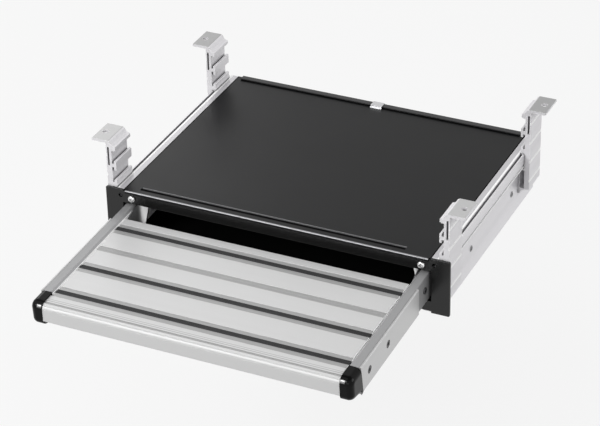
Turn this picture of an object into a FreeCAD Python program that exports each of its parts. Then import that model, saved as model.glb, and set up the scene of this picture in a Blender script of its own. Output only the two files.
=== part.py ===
# Slide-out step for a caravan or motorhome door, hung under the floor from four brackets.
# Millimetres. The sketches are drawn in the front plate's frame: X to the right, Y to the
# back from the plate's front face, Z up from the plate's lower edge. Every body is then
# placed so that the origin is the middle of the four bolt holes, on the bracket tops.
import FreeCAD, Part
import os
import Sketcher

os.makedirs("parts", exist_ok=True)
doc = FreeCAD.newDocument("slide_out_step")

# Driving sizes, each written once. Formulas keep fitted pieces tied to each other.
SIZES = [
    ("plate_half", "245.5", "half width of the front plate"),
    ("plate_high", "81", "height of the front plate"),
    ("plate_thick", "3", "thickness of the front plate"),
    ("portal_half", "=plate_half - 25.1", "half width of the opening in the front plate"),
    ("portal_low", "17.5", "lower edge of the opening"),
    ("portal_top", "=plate_high - 19.2", "upper edge of the opening"),
    ("strip_low", "3", "lower edge of the strip under the opening"),
    ("plate_hole", "3", "radius of the plate's corner holes"),
    ("plate_hole_x", "=portal_half + 3.2", "corner hole, from the middle"),
    ("plate_hole_z", "=plate_high - 9", "corner hole, height"),
    ("stop_screw_x", "=portal_half - 13.8", "pan head screw, from the middle"),
    ("stop_screw_z", "=plate_high - 10.9", "pan head screw, height"),
    ("travel", "215", "travel of the step"),
    ("rail_end", "=travel + 132", "back end of the rails"),
    ("rail_web", "=plate_half - 18", "outer face of the rail's web"),
    ("rail_skin", "5.5", "thickness of the rail's web"),
    ("rail_head", "=rail_web + 7.5", "outer face of the rail's head"),
    ("rail_lip", "=rail_web + 3.5", "outer edge of the rail's flared foot"),
    ("rail_in", "=rail_web - 8", "inner edge of the rail's top"),
    ("rail_ledge", "=rail_web - 19.5", "inner edge of the ledges"),
    ("head_low", "=plate_high - 20.7", "underside of the rail's head"),
    ("mark_z", "=plate_high * 0.3654", "height of the guide channels' rivets"),
    ("hang", "68.2", "height of the bracket tops over the plate"),
    ("flange_top", "=plate_high + hang", "height of the bracket tops"),
    ("flange_thick", "3.8", "thickness of the bracket flanges"),
    ("bracket_out", "=rail_head + 28.4", "outer edge of the bracket flanges"),
    ("bracket_face", "=rail_head + 8.1", "outer face of the brackets"),
    ("bracket_low", "27", "lower end of the brackets"),
    ("bracket_length", "42.6", "length of each bracket along the rail"),
    ("bracket_front", "=plate_thick", "front face of the front brackets"),
    ("bracket_rear", "=rail_end - 9.4 - bracket_length", "front face of the rear brackets"),
    ("score_pitch", "=(flange_top - bracket_low - 34.3) / 3", "spacing of the scored lines"),
    ("rib", "=plate_high + hang * 0.4663", "middle of the upper hook rib"),
    ("hole_x", "=bracket_out - 9.4", "bracket hole, from the middle"),
    ("hole_radius", "4.25", "radius of the bracket hole"),
    ("origin_back", "=(bracket_front + bracket_rear + bracket_length) / 2", "origin, from the plate"),
    ("origin_up", "=flange_top", "origin, from the plate's lower edge"),
    ("cover_half", "=rail_in - 0.3", "half width of the cover"),
    ("cover_skin", "1.5", "thickness of the cover"),
    ("cover_end", "=rail_end + 0.3", "back edge of the cover"),
    ("groove_left", "=-(cover_half - 21.2)", "left end of the pressed groove"),
    ("groove_right", "=cover_half - 38.2", "right end of the pressed groove"),
    ("groove_near", "8.4", "near edge of the pressed groove"),
    ("groove_far", "14.6", "far edge of the pressed groove"),
    ("groove_deep", "1.2", "depth of the pressed groove"),
    ("hem_half", "=cover_half - 7.2", "half width of the raised hem"),
    ("hem_front", "=cover_end - 9.3", "front edge of the raised hem"),
    ("hem_rise", "2.4", "rise of the hem over the cover"),
    ("channel_wall", "2", "wall of the guide channels"),
    ("channel_gap", "0.5", "gap between arm and guide channel, above and below"),
    ("side_gap", "0.6", "gap between side trim and guide channel"),
    ("skin_out", "=rail_web - rail_skin - channel_wall - side_gap", "outer face of the side trims"),
    ("skin_thick", "2.8", "thickness of the side trims"),
    ("arm_out", "=skin_out - skin_thick", "outer face of the arms"),
    ("arm_in", "=arm_out - 13.6", "inner face of the arms"),
    ("arm_wall", "2", "wall of the arms"),
    ("arm_top", "=portal_top - 2.1", "top of the arms at the plate"),
    ("arm_high", "=portal_top - portal_low - 5.3", "height of the arms"),
    ("arm_low", "=arm_top - arm_high", "underside of the arms"),
    ("stop_gap", "0.3", "gap left at the stops"),
    ("nose_front", "=-(travel + 31.5)", "front face of the nosing"),
    ("nose_back", "=nose_front + 24.2", "back edge of the nosing"),
    ("cap_front", "=nose_front - 2", "front face of the end caps"),
    ("cap_out", "=skin_out + 0.6", "outer face of the end caps"),
    ("arm_front", "=nose_front + 27.5", "front end of the arms"),
    ("arm_back", "=wall_back - travel - 63", "back end of the arms"),
    ("skin_back", "-39", "back end of the side trims"),
    ("ledge_in", "=arm_in - 8", "inner edge of the arms' deck ledge"),
    ("ledge_top", "=arm_top - arm_high * 0.7", "top of the arms' deck ledge"),
    ("tilt", "1.27", "fall of the step towards its front, degrees"),
    ("channel_in", "=arm_in + 2.4", "inner edge of the guide channels' flanges"),
    ("channel_front", "=plate_thick + 3", "front end of the guide channels"),
    ("channel_back", "=rail_end - 16", "back end of the guide channels"),
    ("deck_top", "=arm_top - 2.4", "top of the deck"),
    ("deck_low", "=ledge_top + 0.1", "underside of the deck planks"),
    ("deck_half", "=arm_in - 1.2", "half length of the deck planks"),
    ("deck_back", "-28.5", "back edge of the deck"),
    ("deck_deep", "=deck_back - nose_back", "depth of the deck"),
    ("seam", "=deck_back - deck_deep * 0.3865", "seam between the planks"),
    ("nose_low", "=ledge_top - 0.1", "underside of the nosing"),
    ("nose_half", "=arm_in + 0.3", "half length of the nosing"),
    ("nose_round", "7.8", "radius of the nosing's upper edge"),
    ("strip_wide", "7.6", "width of the grip strips"),
    ("strip_deep", "2.2", "depth of the strip grooves"),
    ("strip_rear", "=deck_back - 24.6", "middle of the rear grip strip"),
    ("strip_middle", "=deck_back - deck_deep * 0.6259", "middle of the middle grip strip"),
    ("strip_front", "=nose_back + 11.4", "middle of the front grip strip"),
    ("band_half", "10.6", "half width of the sunk band round a strip"),
    ("band_deep", "0.6", "depth of the sunk bands"),
    ("band_slope", "1.8", "length of the slope at a sunk band's front edge"),
    ("seam_half", "5.2", "half width of the sunk band at the seam"),
    ("screw_front_y", "=arm_front + 25", "front arm screw"),
    ("screw_middle_y", "=strip_middle + 12.8", "middle arm screw"),
    ("screw_back_y", "-13.5", "back arm screw"),
    ("screw_z", "=arm_top - arm_high * 0.48", "height of the arm screws"),
    ("shaft_radius", "2.5", "radius of the screw shafts"),
    ("shaft_gap", "0.1", "radial gap round a screw shaft"),
    ("port_wall", "2.2", "wall of the screw ports in the planks"),
    ("roller_radius", "=arm_high / 2 + channel_gap - 0.3", "radius of the rollers"),
    ("roller_y", "=arm_back + 22", "axis of the rollers"),
    ("roller_z", "=arm_top - arm_high / 2", "height of the roller axis"),
    ("axle_radius", "4", "radius of the axles"),
    ("roller_bore", "=axle_radius + 0.05", "radius of the rollers' bore"),
    ("carrier_in", "=arm_in - 2.4", "inner face of the roller carriers"),
    ("carrier_back", "=roller_y + 13", "back end of the roller carriers"),
    ("tie_front", "=arm_back - 20", "front of the tie bar"),
    ("tie_back", "=arm_back - 8", "back of the tie bar"),
    ("tie_high", "=arm_high * 0.46", "height of the tie bar"),
    ("cheek_out", "=arm_in - 0.1", "outer face of the stop cheeks"),
    ("block_back", "=plate_thick + 7", "back face of the stop blocks"),
    ("wall_back", "=rail_end - 1", "back face of the rear cross member"),
    ("wall_thick", "2", "sheet of the rear cross member"),
    ("pan_low", "2.5", "underside of the floor pan"),
    ("pan_skin", "1.2", "thickness of the floor pan"),
    ("rivet_front", "=rail_end * 0.3458", "front rivet of the guide channels"),
    ("rivet_back", "=rail_end * 0.7781", "back rivet of the guide channels"),
]

sheet = doc.addObject("Spreadsheet::Sheet", "Sizes")
for row, (alias, value, meaning) in enumerate(SIZES, start=1):
    sheet.set("A%d" % row, meaning)
    sheet.set("B%d" % row, value)
    sheet.setAlias("B%d" % row, alias)
doc.recompute()

NAMES = sorted([item[0] for item in SIZES], key=len, reverse=True)


def linked(words):
    """Turn words such as 'arm_in - 2' into a formula that reads the sheet."""
    out = []
    word = ""
    for letter in words + " ":
        if letter.isalnum() or letter in "_.":
            word += letter
            continue
        if word:
            out.append("Sizes." + word if word in NAMES else word)
            word = ""
        out.append(letter)
    return "".join(out).strip()


def number(words):
    """Value of a formula, in millimetres."""
    found = sheet.evalExpression(linked(words))
    return float(getattr(found, "Value", found))


def mirrored(side, words):
    """The formula for this side: side is 1 on the right and -1 on the left."""
    return words if side > 0 else "-(" + words + ")"


def plane(body, role):
    """The body's own origin plane."""
    for feature in body.Origin.OriginFeatures:
        if feature.Role == role:
            return feature
    raise ValueError(role)


def new_body(name, tilted=False):
    """A body whose origin is moved from the plate to the bolt pattern's middle."""
    body = doc.addObject("PartDesign::Body", name)
    body.Label = name
    place(body, tilted)
    return body


def place(item, tilted=False):
    """Place an object: straight with the housing, or sloping with the step."""
    if tilted:
        item.Placement = FreeCAD.Placement(
            FreeCAD.Vector(0, 0, 0), FreeCAD.Rotation(FreeCAD.Vector(1, 0, 0), number("tilt")))
        item.setExpression("Placement.Rotation.Angle", "Sizes.tilt * 1 deg")
        item.setExpression("Placement.Base.y", linked("arm_top * sin(tilt * 1 deg) - origin_back"))
        item.setExpression("Placement.Base.z", linked("arm_top - arm_top * cos(tilt * 1 deg) - origin_up"))
    else:
        item.setExpression("Placement.Base.y", linked("-origin_back"))
        item.setExpression("Placement.Base.z", linked("-origin_up"))


def sketch_on(body, name, role, away=None):
    """A sketch on one of the body's planes, moved along the plane's normal by away."""
    sketch = body.newObject("Sketcher::SketchObject", name)
    sketch.AttachmentSupport = [(plane(body, role), "")]
    sketch.MapMode = "FlatFace"
    if away is not None:
        sketch.setExpression("AttachmentOffset.Base.z", linked(away))
    return sketch


def pin_point(sketch, index, spot, across, up):
    """Hold one point of the sketch at two formulas."""
    for kind, words, axis in (("DistanceX", across, -2), ("DistanceY", up, -1)):
        if words.strip() == "0":
            sketch.addConstraint(Sketcher.Constraint("PointOnObject", index, spot, axis))
            continue
        held = sketch.addConstraint(Sketcher.Constraint(kind, -1, 1, index, spot, number(words)))
        sketch.setExpression("Constraints[%d]" % held, linked(words))


def outline(sketch, corners):
    """Closed outline through corners; each corner is a pair of formulas."""
    first = sketch.GeometryCount
    count = len(corners)
    values = [FreeCAD.Vector(number(a), number(b), 0) for a, b in corners]
    for i in range(count):
        sketch.addGeometry(Part.LineSegment(values[i], values[(i + 1) % count]), False)
    for i in range(count):
        sketch.addConstraint(Sketcher.Constraint("Coincident", first + i, 2, first + (i + 1) % count, 1))
    for i, (a, b) in enumerate(corners):
        pin_point(sketch, first + i, 1, a, b)


def box_outline(sketch, a0, b0, a1, b1):
    """Rectangle between two corners."""
    outline(sketch, [(a0, b0), (a1, b0), (a1, b1), (a0, b1)])


def ring(sketch, a, b, radius):
    """Circle with its middle and radius held."""
    index = sketch.GeometryCount
    middle = FreeCAD.Vector(number(a), number(b), 0)
    sketch.addGeometry(Part.Circle(middle, FreeCAD.Vector(0, 0, 1), number(radius)), False)
    pin_point(sketch, index, 3, a, b)
    held = sketch.addConstraint(Sketcher.Constraint("Radius", index, number(radius)))
    sketch.setExpression("Constraints[%d]" % held, linked(radius))


def pad(body, sketch, length, back=False, both=False):
    """Raise a sketch into a solid."""
    feature = body.newObject("PartDesign::Pad", sketch.Name + "_pad")
    feature.Profile = (sketch, [""])
    feature.setExpression("Length", linked(length))
    feature.Reversed = back
    feature.Midplane = both
    sketch.Visibility = False
    return feature


def cut(body, sketch, length=None, back=False, both=False):
    """Cut a sketch into the body, right through when no length is given."""
    doc.recompute()
    before = body.Shape.Volume
    feature = body.newObject("PartDesign::Pocket", sketch.Name + "_cut")
    feature.Profile = (sketch, [""])
    feature.Reversed = back
    if length is None:
        feature.Type = "ThroughAll"
        feature.Midplane = True
    else:
        feature.setExpression("Length", linked(length))
        feature.Midplane = both
    sketch.Visibility = False
    doc.recompute()
    if body.Shape.Volume > before - 0.01:
        raise ValueError("nothing was cut by " + sketch.Name)
    return feature


def edge_names(shape, chosen):
    """Names of the edges for which chosen(middle, direction) is true."""
    names = []
    for index, edge in enumerate(shape.Edges, start=1):
        if not isinstance(edge.Curve, Part.Line):
            continue
        way = edge.tangentAt(edge.FirstParameter)
        middle = (edge.Vertexes[0].Point + edge.Vertexes[-1].Point) * 0.5
        if chosen(middle, way):
            names.append("Edge%d" % index)
    return names


def soften(body, kind, radius, chosen, name):
    """Fillet or chamfer the chosen edges of the body's tip."""
    doc.recompute()
    base = body.Tip
    names = edge_names(base.Shape, chosen)
    if not names:
        raise ValueError("no edges for " + name)
    feature = body.newObject("PartDesign::" + kind, name)
    feature.Base = (base, names)
    if kind == "Fillet":
        feature.setExpression("Radius", linked(radius))
    else:
        feature.setExpression("Size", linked(radius))
    return feature


def close(first, second, within=0.02):
    """True where two numbers agree."""
    return abs(first - second) < within


# Front plate: a black frame round the opening, with a strip above and below it.
body = new_body("front_plate")
s = sketch_on(body, "plate_outline", "XZ_Plane")
outline(s, [("-plate_half", "0"), ("-portal_half", "0"), ("-portal_half", "strip_low"),
            ("portal_half", "strip_low"), ("portal_half", "0"), ("plate_half", "0"),
            ("plate_half", "plate_high"), ("cover_half", "plate_high"),
            ("cover_half", "plate_high - cover_skin"), ("-cover_half", "plate_high - cover_skin"),
            ("-cover_half", "plate_high"), ("-plate_half", "plate_high")])
pad(body, s, "plate_thick", back=True)
s = sketch_on(body, "plate_opening", "XZ_Plane")
box_outline(s, "-portal_half", "portal_low", "portal_half", "portal_top")
cut(body, s)
s = sketch_on(body, "plate_holes", "XZ_Plane")
ring(s, "-plate_hole_x", "plate_hole_z", "plate_hole")
ring(s, "plate_hole_x", "plate_hole_z", "plate_hole")
ring(s, "-stop_screw_x", "stop_screw_z", "shaft_radius + shaft_gap")
ring(s, "stop_screw_x", "stop_screw_z", "shaft_radius + shaft_gap")
cut(body, s)
soften(body, "Fillet", "2", lambda m, w: close(abs(w.y), 1) and close(abs(m.x), number("plate_half")),
       "plate_corners")
soften(body, "Fillet", "0.5", lambda m, w: close(m.y, 0) and (
    close(abs(m.x), number("plate_half")) or (close(m.z, number("portal_top")))), "plate_rims")

# Top cover: pressed sheet with a rounded front edge, a groove and a raised hem.
body = new_body("top_cover")
s = sketch_on(body, "cover_sheet", "YZ_Plane")
outline(s, [("-cover_skin - 0.2", "plate_high - 4"), ("-0.2", "plate_high - 4"),
            ("-0.2", "plate_high - cover_skin + 0.02"), ("cover_end", "plate_high - cover_skin + 0.02"),
            ("cover_end", "plate_high + 0.02"), ("-cover_skin - 0.2", "plate_high + 0.02")])
pad(body, s, "cover_half * 2 - 0.4", both=True)
soften(body, "Fillet", "1.4", lambda m, w: close(abs(w.x), 1) and m.y < -1 and m.z > number("plate_high") - 1,
       "cover_front_round")
s = sketch_on(body, "cover_ends", "XZ_Plane")
box_outline(s, "cover_half - 3.2", "plate_high - 8", "cover_half + 3", "plate_high + 3")
box_outline(s, "-cover_half - 3", "plate_high - 8", "-cover_half + 3.2", "plate_high + 3")
cut(body, s, "5", both=True)
s = sketch_on(body, "groove_floor", "XY_Plane", "plate_high - cover_skin - groove_deep + 0.02")
box_outline(s, "groove_left - 1", "groove_near - 1", "groove_right + 1", "groove_far + 1")
pad(body, s, "groove_deep + 0.2")
s = sketch_on(body, "groove_cut", "XY_Plane", "plate_high - groove_deep + 0.02")
box_outline(s, "groove_left", "groove_near", "groove_right", "groove_far")
cut(body, s, "5", back=True)
s = sketch_on(body, "hem", "XY_Plane", "plate_high - 0.2")
box_outline(s, "-hem_half", "hem_front", "hem_half", "cover_end")
pad(body, s, "hem_rise + 0.2")
soften(body, "Fillet", "0.9", lambda m, w: close(m.z, number("plate_high + hem_rise")) and (
    m.y < number("hem_front") + 0.1 or abs(m.x) > number("hem_half") - 0.1), "hem_round")
s = sketch_on(body, "hem_fold", "YZ_Plane")
box_outline(s, "hem_front - 1", "plate_high + 0.02", "hem_front + 2.2", "plate_high + hem_rise - 1.1")
cut(body, s)

# Small bent clip over the middle of the hem.
body = new_body("hem_clip")
s = sketch_on(body, "clip_side", "YZ_Plane")
outline(s, [("hem_front - 5", "plate_high + 0.1"), ("hem_front - 1.4", "plate_high + 0.1"),
            ("hem_front - 1.4", "plate_high + hem_rise + 0.1"), ("cover_end + 0.1", "plate_high + hem_rise + 0.1"),
            ("cover_end + 0.1", "plate_high - 9"), ("cover_end + 1.1", "plate_high - 9"),
            ("cover_end + 1.1", "plate_high + hem_rise + 1.1"), ("hem_front - 2.4", "plate_high + hem_rise + 1.1"),
            ("hem_front - 2.4", "plate_high + 1.1"), ("hem_front - 5", "plate_high + 1.1")])
pad(body, s, "16.6", both=True)
soften(body, "Fillet", "0.8", lambda m, w: close(abs(w.x), 1) and m.y > number("cover_end") + 0.6
       and m.z > number("plate_high"), "clip_bend")


def side_rail(name, side):
    """Extruded side rail: grooved head over a plain web, with a flared foot and two inner ledges."""
    body = new_body(name)
    s = sketch_on(body, name + "_section", "XZ_Plane", "-plate_thick")
    section = [("rail_in", "plate_high"), ("rail_head - 5.7", "plate_high"), ("rail_head - 4.7", "plate_high - 1"),
               ("rail_head - 4.7", "plate_high - 5"), ("rail_head - 1.7", "plate_high - 5"),
               ("rail_head - 1.7", "plate_high - 0.4"), ("rail_head", "plate_high - 0.4"),
               ("rail_head", "head_low + 5.2"), ("rail_head - 2.2", "head_low + 4"),
               ("rail_head - 2.2", "head_low + 2"), ("rail_head", "head_low + 1.5"),
               ("rail_head", "head_low"), ("rail_head - 1.4", "head_low"), ("rail_head - 1.4", "head_low - 1"),
               ("rail_head - 2.6", "head_low - 1"), ("rail_head - 2.6", "head_low + 1"),
               ("rail_web", "head_low + 1"), ("rail_web", "16"), ("rail_lip", "2"), ("rail_lip", "0"),
               ("rail_ledge", "0"),
               ("rail_ledge", "2.4"), ("rail_web - rail_skin", "2.4"), ("rail_web - rail_skin", "plate_high - 4"),
               ("rail_ledge", "plate_high - 4"), ("rail_ledge", "plate_high - cover_skin - 0.1"),
               ("rail_in", "plate_high - cover_skin - 0.1")]
    outline(s, [(mirrored(side, a), b) for a, b in section])
    pad(body, s, "rail_end - plate_thick", back=True)
    s = sketch_on(body, name + "_holes", "YZ_Plane")
    ring(s, "rivet_front", "mark_z", "shaft_radius + shaft_gap")
    ring(s, "rivet_back", "mark_z", "shaft_radius + shaft_gap")
    cut(body, s)
    s = sketch_on(body, name + "_bolt_room", "XZ_Plane", "-plate_thick")
    box_outline(s, mirrored(side, "rail_web - rail_skin - 1"), "plate_hole_z - 3.8",
                mirrored(side, "plate_hole_x + 3.8"), "plate_hole_z + 3.8")
    cut(body, s, "8")
    soften(body, "Fillet", "0.8", lambda m, w: close(abs(w.y), 1) and (
        (close(abs(m.x), number("rail_head")) and m.z > number("plate_high") - 1)
        or close(abs(m.x), number("rail_lip"))), name + "_round")
    return body


def bracket(name, side, front):
    """Slice of extruded hanger: bolt flange on top, hook ribs inside, a foot against the web."""
    body = new_body(name)
    s = sketch_on(body, name + "_section", "XZ_Plane", "-(" + front + ")")
    under = "flange_top - flange_thick"
    section = [("bracket_out", "flange_top"), ("rail_head + 5", "flange_top"), ("rail_head + 2", "flange_top - 1.4"),
               ("rail_head + 0.4", "flange_top - 5"), ("rail_head - 2", "flange_top - 7.2"),
               ("rail_head - 5.6", "flange_top - 8.2"), ("rail_head - 5.6", "flange_top - 13"),
               ("rail_head - 2.8", "flange_top - 14.4"), ("rail_head + 0.2", "flange_top - 14.4"),
               ("rail_head + 0.2", "rib + 2.8"), ("rail_head - 2.7", "rib + 2.8"), ("rail_head - 2.7", "rib + 6.8"),
               ("rail_head - 5.8", "rib + 6.8"), ("rail_head - 5.8", "rib - 6.8"), ("rail_head - 2.7", "rib - 6.8"),
               ("rail_head - 2.7", "rib - 2.2"), ("rail_head + 0.2", "rib - 2.2"),
               ("rail_head + 0.2", "plate_high + 7"), ("rail_head - 1.9", "plate_high + 7"),
               ("rail_head - 1.9", "plate_high + 10.4"), ("rail_head - 5.4", "plate_high + 10.4"),
               ("rail_head - 5.4", "plate_high + 0.3"), ("rail_head - 4", "plate_high + 0.3"),
               ("rail_head - 4", "plate_high - 3.6"), ("rail_head - 2.2", "plate_high - 3.6"),
               ("rail_head - 2.2", "plate_high + 0.3"), ("rail_head + 0.2", "plate_high + 0.3"),
               ("rail_head + 0.2", "head_low - 2.6"), ("rail_web + 0.3", "head_low - 2.6"),
               ("rail_web + 0.3", "bracket_low - 9"), ("rail_web + 1.5", "bracket_low - 9"),
               ("rail_web + 5", "bracket_low - 3.6"), ("rail_head + 1.4", "bracket_low - 1.6"),
               ("bracket_face", "bracket_low")]
    for step in range(4):
        line = "bracket_low + 13.9 + score_pitch * %d" % step
        section += [("bracket_face", line + " - 1.7"), ("bracket_face - 1", line + " + 0.1"),
                    ("bracket_face", line + " + 0.5")]
    section += [("bracket_face", under), ("bracket_out", under)]
    outline(s, [(mirrored(side, a), b) for a, b in section])
    box_outline(s, mirrored(side, "rail_head + 3.5"), "rib - 0.8", mirrored(side, "bracket_face - 1.9"),
                "flange_top - 9.5")
    box_outline(s, mirrored(side, "rail_web + 1.8"), "bracket_low", mirrored(side, "rail_head + 1"), "head_low - 5")
    pad(body, s, "bracket_length", back=True)
    s = sketch_on(body, name + "_hole", "XY_Plane", "flange_top")
    ring(s, mirrored(side, "hole_x"), front + " + bracket_length / 2", "hole_radius")
    cut(body, s, "5")
    soften(body, "Fillet", "1", lambda m, w: close(abs(w.y), 1) and (
        abs(m.x) > number("bracket_out") - 0.1
        or number("rail_head") - 6 < abs(m.x) < number("rail_head") - 5.3), name + "_round")
    return body


for side, hand in ((-1, "left"), (1, "right")):
    side_rail("side_rail_" + hand, side)
    bracket("bracket_front_" + hand, side, "bracket_front")
    bracket("bracket_rear_" + hand, side, "bracket_rear")

# Floor pan: sheet that closes the housing below, with a lip behind the plate's lower strip.
body = new_body("floor_pan")
s = sketch_on(body, "pan_side", "YZ_Plane")
outline(s, [("plate_thick", "pan_low"), ("wall_back - wall_thick - 0.2", "pan_low"),
            ("wall_back - wall_thick - 0.2", "pan_low + pan_skin"), ("plate_thick + pan_skin", "pan_low + pan_skin"),
            ("plate_thick + pan_skin", "portal_low - 1.5"), ("plate_thick", "portal_low - 1.5")])
pad(body, s, "(rail_web - rail_skin) * 2 - 0.4", both=True)

# Rear cross member: folded channel that ties the two rails.
body = new_body("rear_cross_member")
s = sketch_on(body, "wall_side", "YZ_Plane")
outline(s, [("wall_back - 12", "pan_low + pan_skin + 0.1"), ("wall_back", "pan_low + pan_skin + 0.1"),
            ("wall_back", "plate_high - 4.1"), ("wall_back - 12", "plate_high - 4.1"),
            ("wall_back - 12", "plate_high - 4.1 - wall_thick"),
            ("wall_back - wall_thick", "plate_high - 4.1 - wall_thick"),
            ("wall_back - wall_thick", "pan_low + pan_skin + 0.1 + wall_thick"),
            ("wall_back - 12", "pan_low + pan_skin + 0.1 + wall_thick")])
pad(body, s, "(rail_web - rail_skin) * 2 - 0.4", both=True)


def guide_channel(name, side):
    """Folded guide channel, open to the middle, sloping with the step's travel."""
    body = new_body(name, tilted=True)
    s = sketch_on(body, name + "_section", "XZ_Plane", "-channel_front")
    out = "rail_web - rail_skin"
    low = "arm_top - arm_high - channel_gap"
    high = "arm_top + channel_gap"
    section = [("channel_in", low + " - channel_wall"), (out, low + " - channel_wall"),
               (out, high + " + channel_wall"), ("channel_in", high + " + channel_wall"),
               ("channel_in", high), (out + " - channel_wall", high), (out + " - channel_wall", low),
               ("channel_in", low)]
    outline(s, [(mirrored(side, a), b) for a, b in section])
    pad(body, s, "channel_back - channel_front", back=True)
    soften(body, "Fillet", "1.4", lambda m, w: close(abs(w.y), 1) and abs(m.x) > number(out) - 0.1, name + "_bend")
    return body


def arm(name, side):
    """Slide arm: box section with a ledge for the deck, milled away behind the deck."""
    body = new_body(name, tilted=True)
    s = sketch_on(body, name + "_section", "XZ_Plane", "-(arm_front)")
    low = "arm_top - arm_high"
    outline(s, [(mirrored(side, a), b) for a, b in [
        ("arm_in", low), ("arm_out", low), ("arm_out", "arm_top"), ("arm_in", "arm_top"),
        ("arm_in", "ledge_top"), ("ledge_in", "ledge_top"), ("ledge_in", "ledge_top - arm_wall"),
        ("arm_in", "ledge_top - arm_wall")]])
    box_outline(s, mirrored(side, "arm_in + arm_wall"), low + " + arm_wall",
                mirrored(side, "arm_out - arm_wall"), "arm_top - arm_wall")
    pad(body, s, "arm_back - arm_front", back=True)
    s = sketch_on(body, name + "_milling", "YZ_Plane", mirrored(side, "(ledge_in + arm_in) / 2"))
    box_outline(s, "deck_back + 1", "ledge_top - 5", "arm_back + 5", "ledge_top + 3")
    cut(body, s, "arm_in - ledge_in", both=True)
    s = sketch_on(body, name + "_screw_holes", "YZ_Plane")
    for where in ("screw_front_y", "screw_middle_y", "screw_back_y"):
        ring(s, where, "screw_z", "shaft_radius + shaft_gap")
    ring(s, "(tie_front + tie_back) / 2", "roller_z", "shaft_radius + shaft_gap")
    cut(body, s)
    soften(body, "Fillet", "0.8", lambda m, w: close(abs(w.y), 1) and close(m.z, number("arm_top"))
           and close(abs(m.x), number("arm_out")), name + "_round")
    soften(body, "Chamfer", "3", lambda m, w: close(abs(w.y), 1) and close(m.z, number("arm_top"))
           and close(abs(m.x), number("arm_in")), name + "_slope")
    return body


def arm_trim(name, side):
    """Light side trim over the outer face of the arm, with sunk seats for the screw heads."""
    body = new_body(name, tilted=True)
    s = sketch_on(body, name + "_section", "XZ_Plane", "-(arm_front)")
    box_outline(s, mirrored(side, "arm_out + 0.05"), "arm_top - arm_high", mirrored(side, "skin_out"), "arm_top")
    pad(body, s, "skin_back - arm_front", back=True)
    s = sketch_on(body, name + "_seats", "YZ_Plane", mirrored(side, "skin_out"))
    for where in ("screw_front_y", "screw_middle_y"):
        ring(s, where, "screw_z", "5.3")
    cut(body, s, "1.7", back=side < 0)
    s = sketch_on(body, name + "_holes", "YZ_Plane")
    for where in ("screw_front_y", "screw_middle_y"):
        ring(s, where, "screw_z", "shaft_radius + shaft_gap")
    cut(body, s)
    soften(body, "Fillet", "1.5", lambda m, w: close(abs(w.y), 1) and close(abs(m.x), number("skin_out")),
           name + "_round")
    soften(body, "Chamfer", "0.6", lambda m, w: close(abs(w.y), 1) and close(m.z, number("arm_top"))
           and abs(m.x) < number("arm_out") + 0.2, name + "_seam")
    return body


def end_cap(name, side):
    """Moulded cap over the front end of arm and trim, rounded at the top, front and side."""
    body = new_body(name, tilted=True)
    s = sketch_on(body, name + "_side", "YZ_Plane", mirrored(side, "(arm_in + 0.4 + cap_out) / 2"))
    low = "arm_top - arm_high"
    outline(s, [("arm_front - 0.1", low), ("arm_front - 0.1", "arm_top"), ("cap_front", "arm_top"),
                ("cap_front + 1.7", low + " + 8.4"), ("cap_front + 9", low + " + 4")])
    pad(body, s, "cap_out - arm_in - 0.4", both=True)
    soften(body, "Fillet", "10", lambda m, w: close(abs(w.x), 1) and close(m.y, number("cap_front"))
           and m.z > number("arm_top") - 2, name + "_brow")
    soften(body, "Fillet", "9", lambda m, w: close(abs(w.x), 1) and m.z < number("arm_top") - 10
           and m.y < number("cap_front") + 10, name + "_chin")
    soften(body, "Fillet", "8", lambda m, w: close(abs(m.x), number("cap_out")) and close(abs(w.z), 1)
           and m.y < number("cap_front") + 3, name + "_corner")
    s = sketch_on(body, name + "_hollow", "XZ_Plane", "-(arm_front - 0.1)")
    box_outline(s, mirrored(side, "arm_in + 3"), low + " + 8", mirrored(side, "cap_out - 4"), "arm_top - 4")
    cut(body, s, "20", back=True)
    s = sketch_on(body, name + "_tongue", "XZ_Plane", "-(arm_front + 10)")
    box_outline(s, mirrored(side, "arm_in + arm_wall + 0.3"), low + " + 14",
                mirrored(side, "arm_out - arm_wall - 0.3"), "arm_top - 14")
    pad(body, s, "31")
    s = sketch_on(body, name + "_lip", "YZ_Plane", mirrored(side, "(cap_out + skin_out + 0.05) / 2"))
    outline(s, [("arm_front - 1", low), ("arm_front + 4.2", low + " + 1.5"), ("arm_front + 0.1", "arm_top - 9"),
                ("arm_front - 1", "arm_top - 9")])
    pad(body, s, "cap_out - skin_out - 0.05", both=True)
    return body


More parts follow.
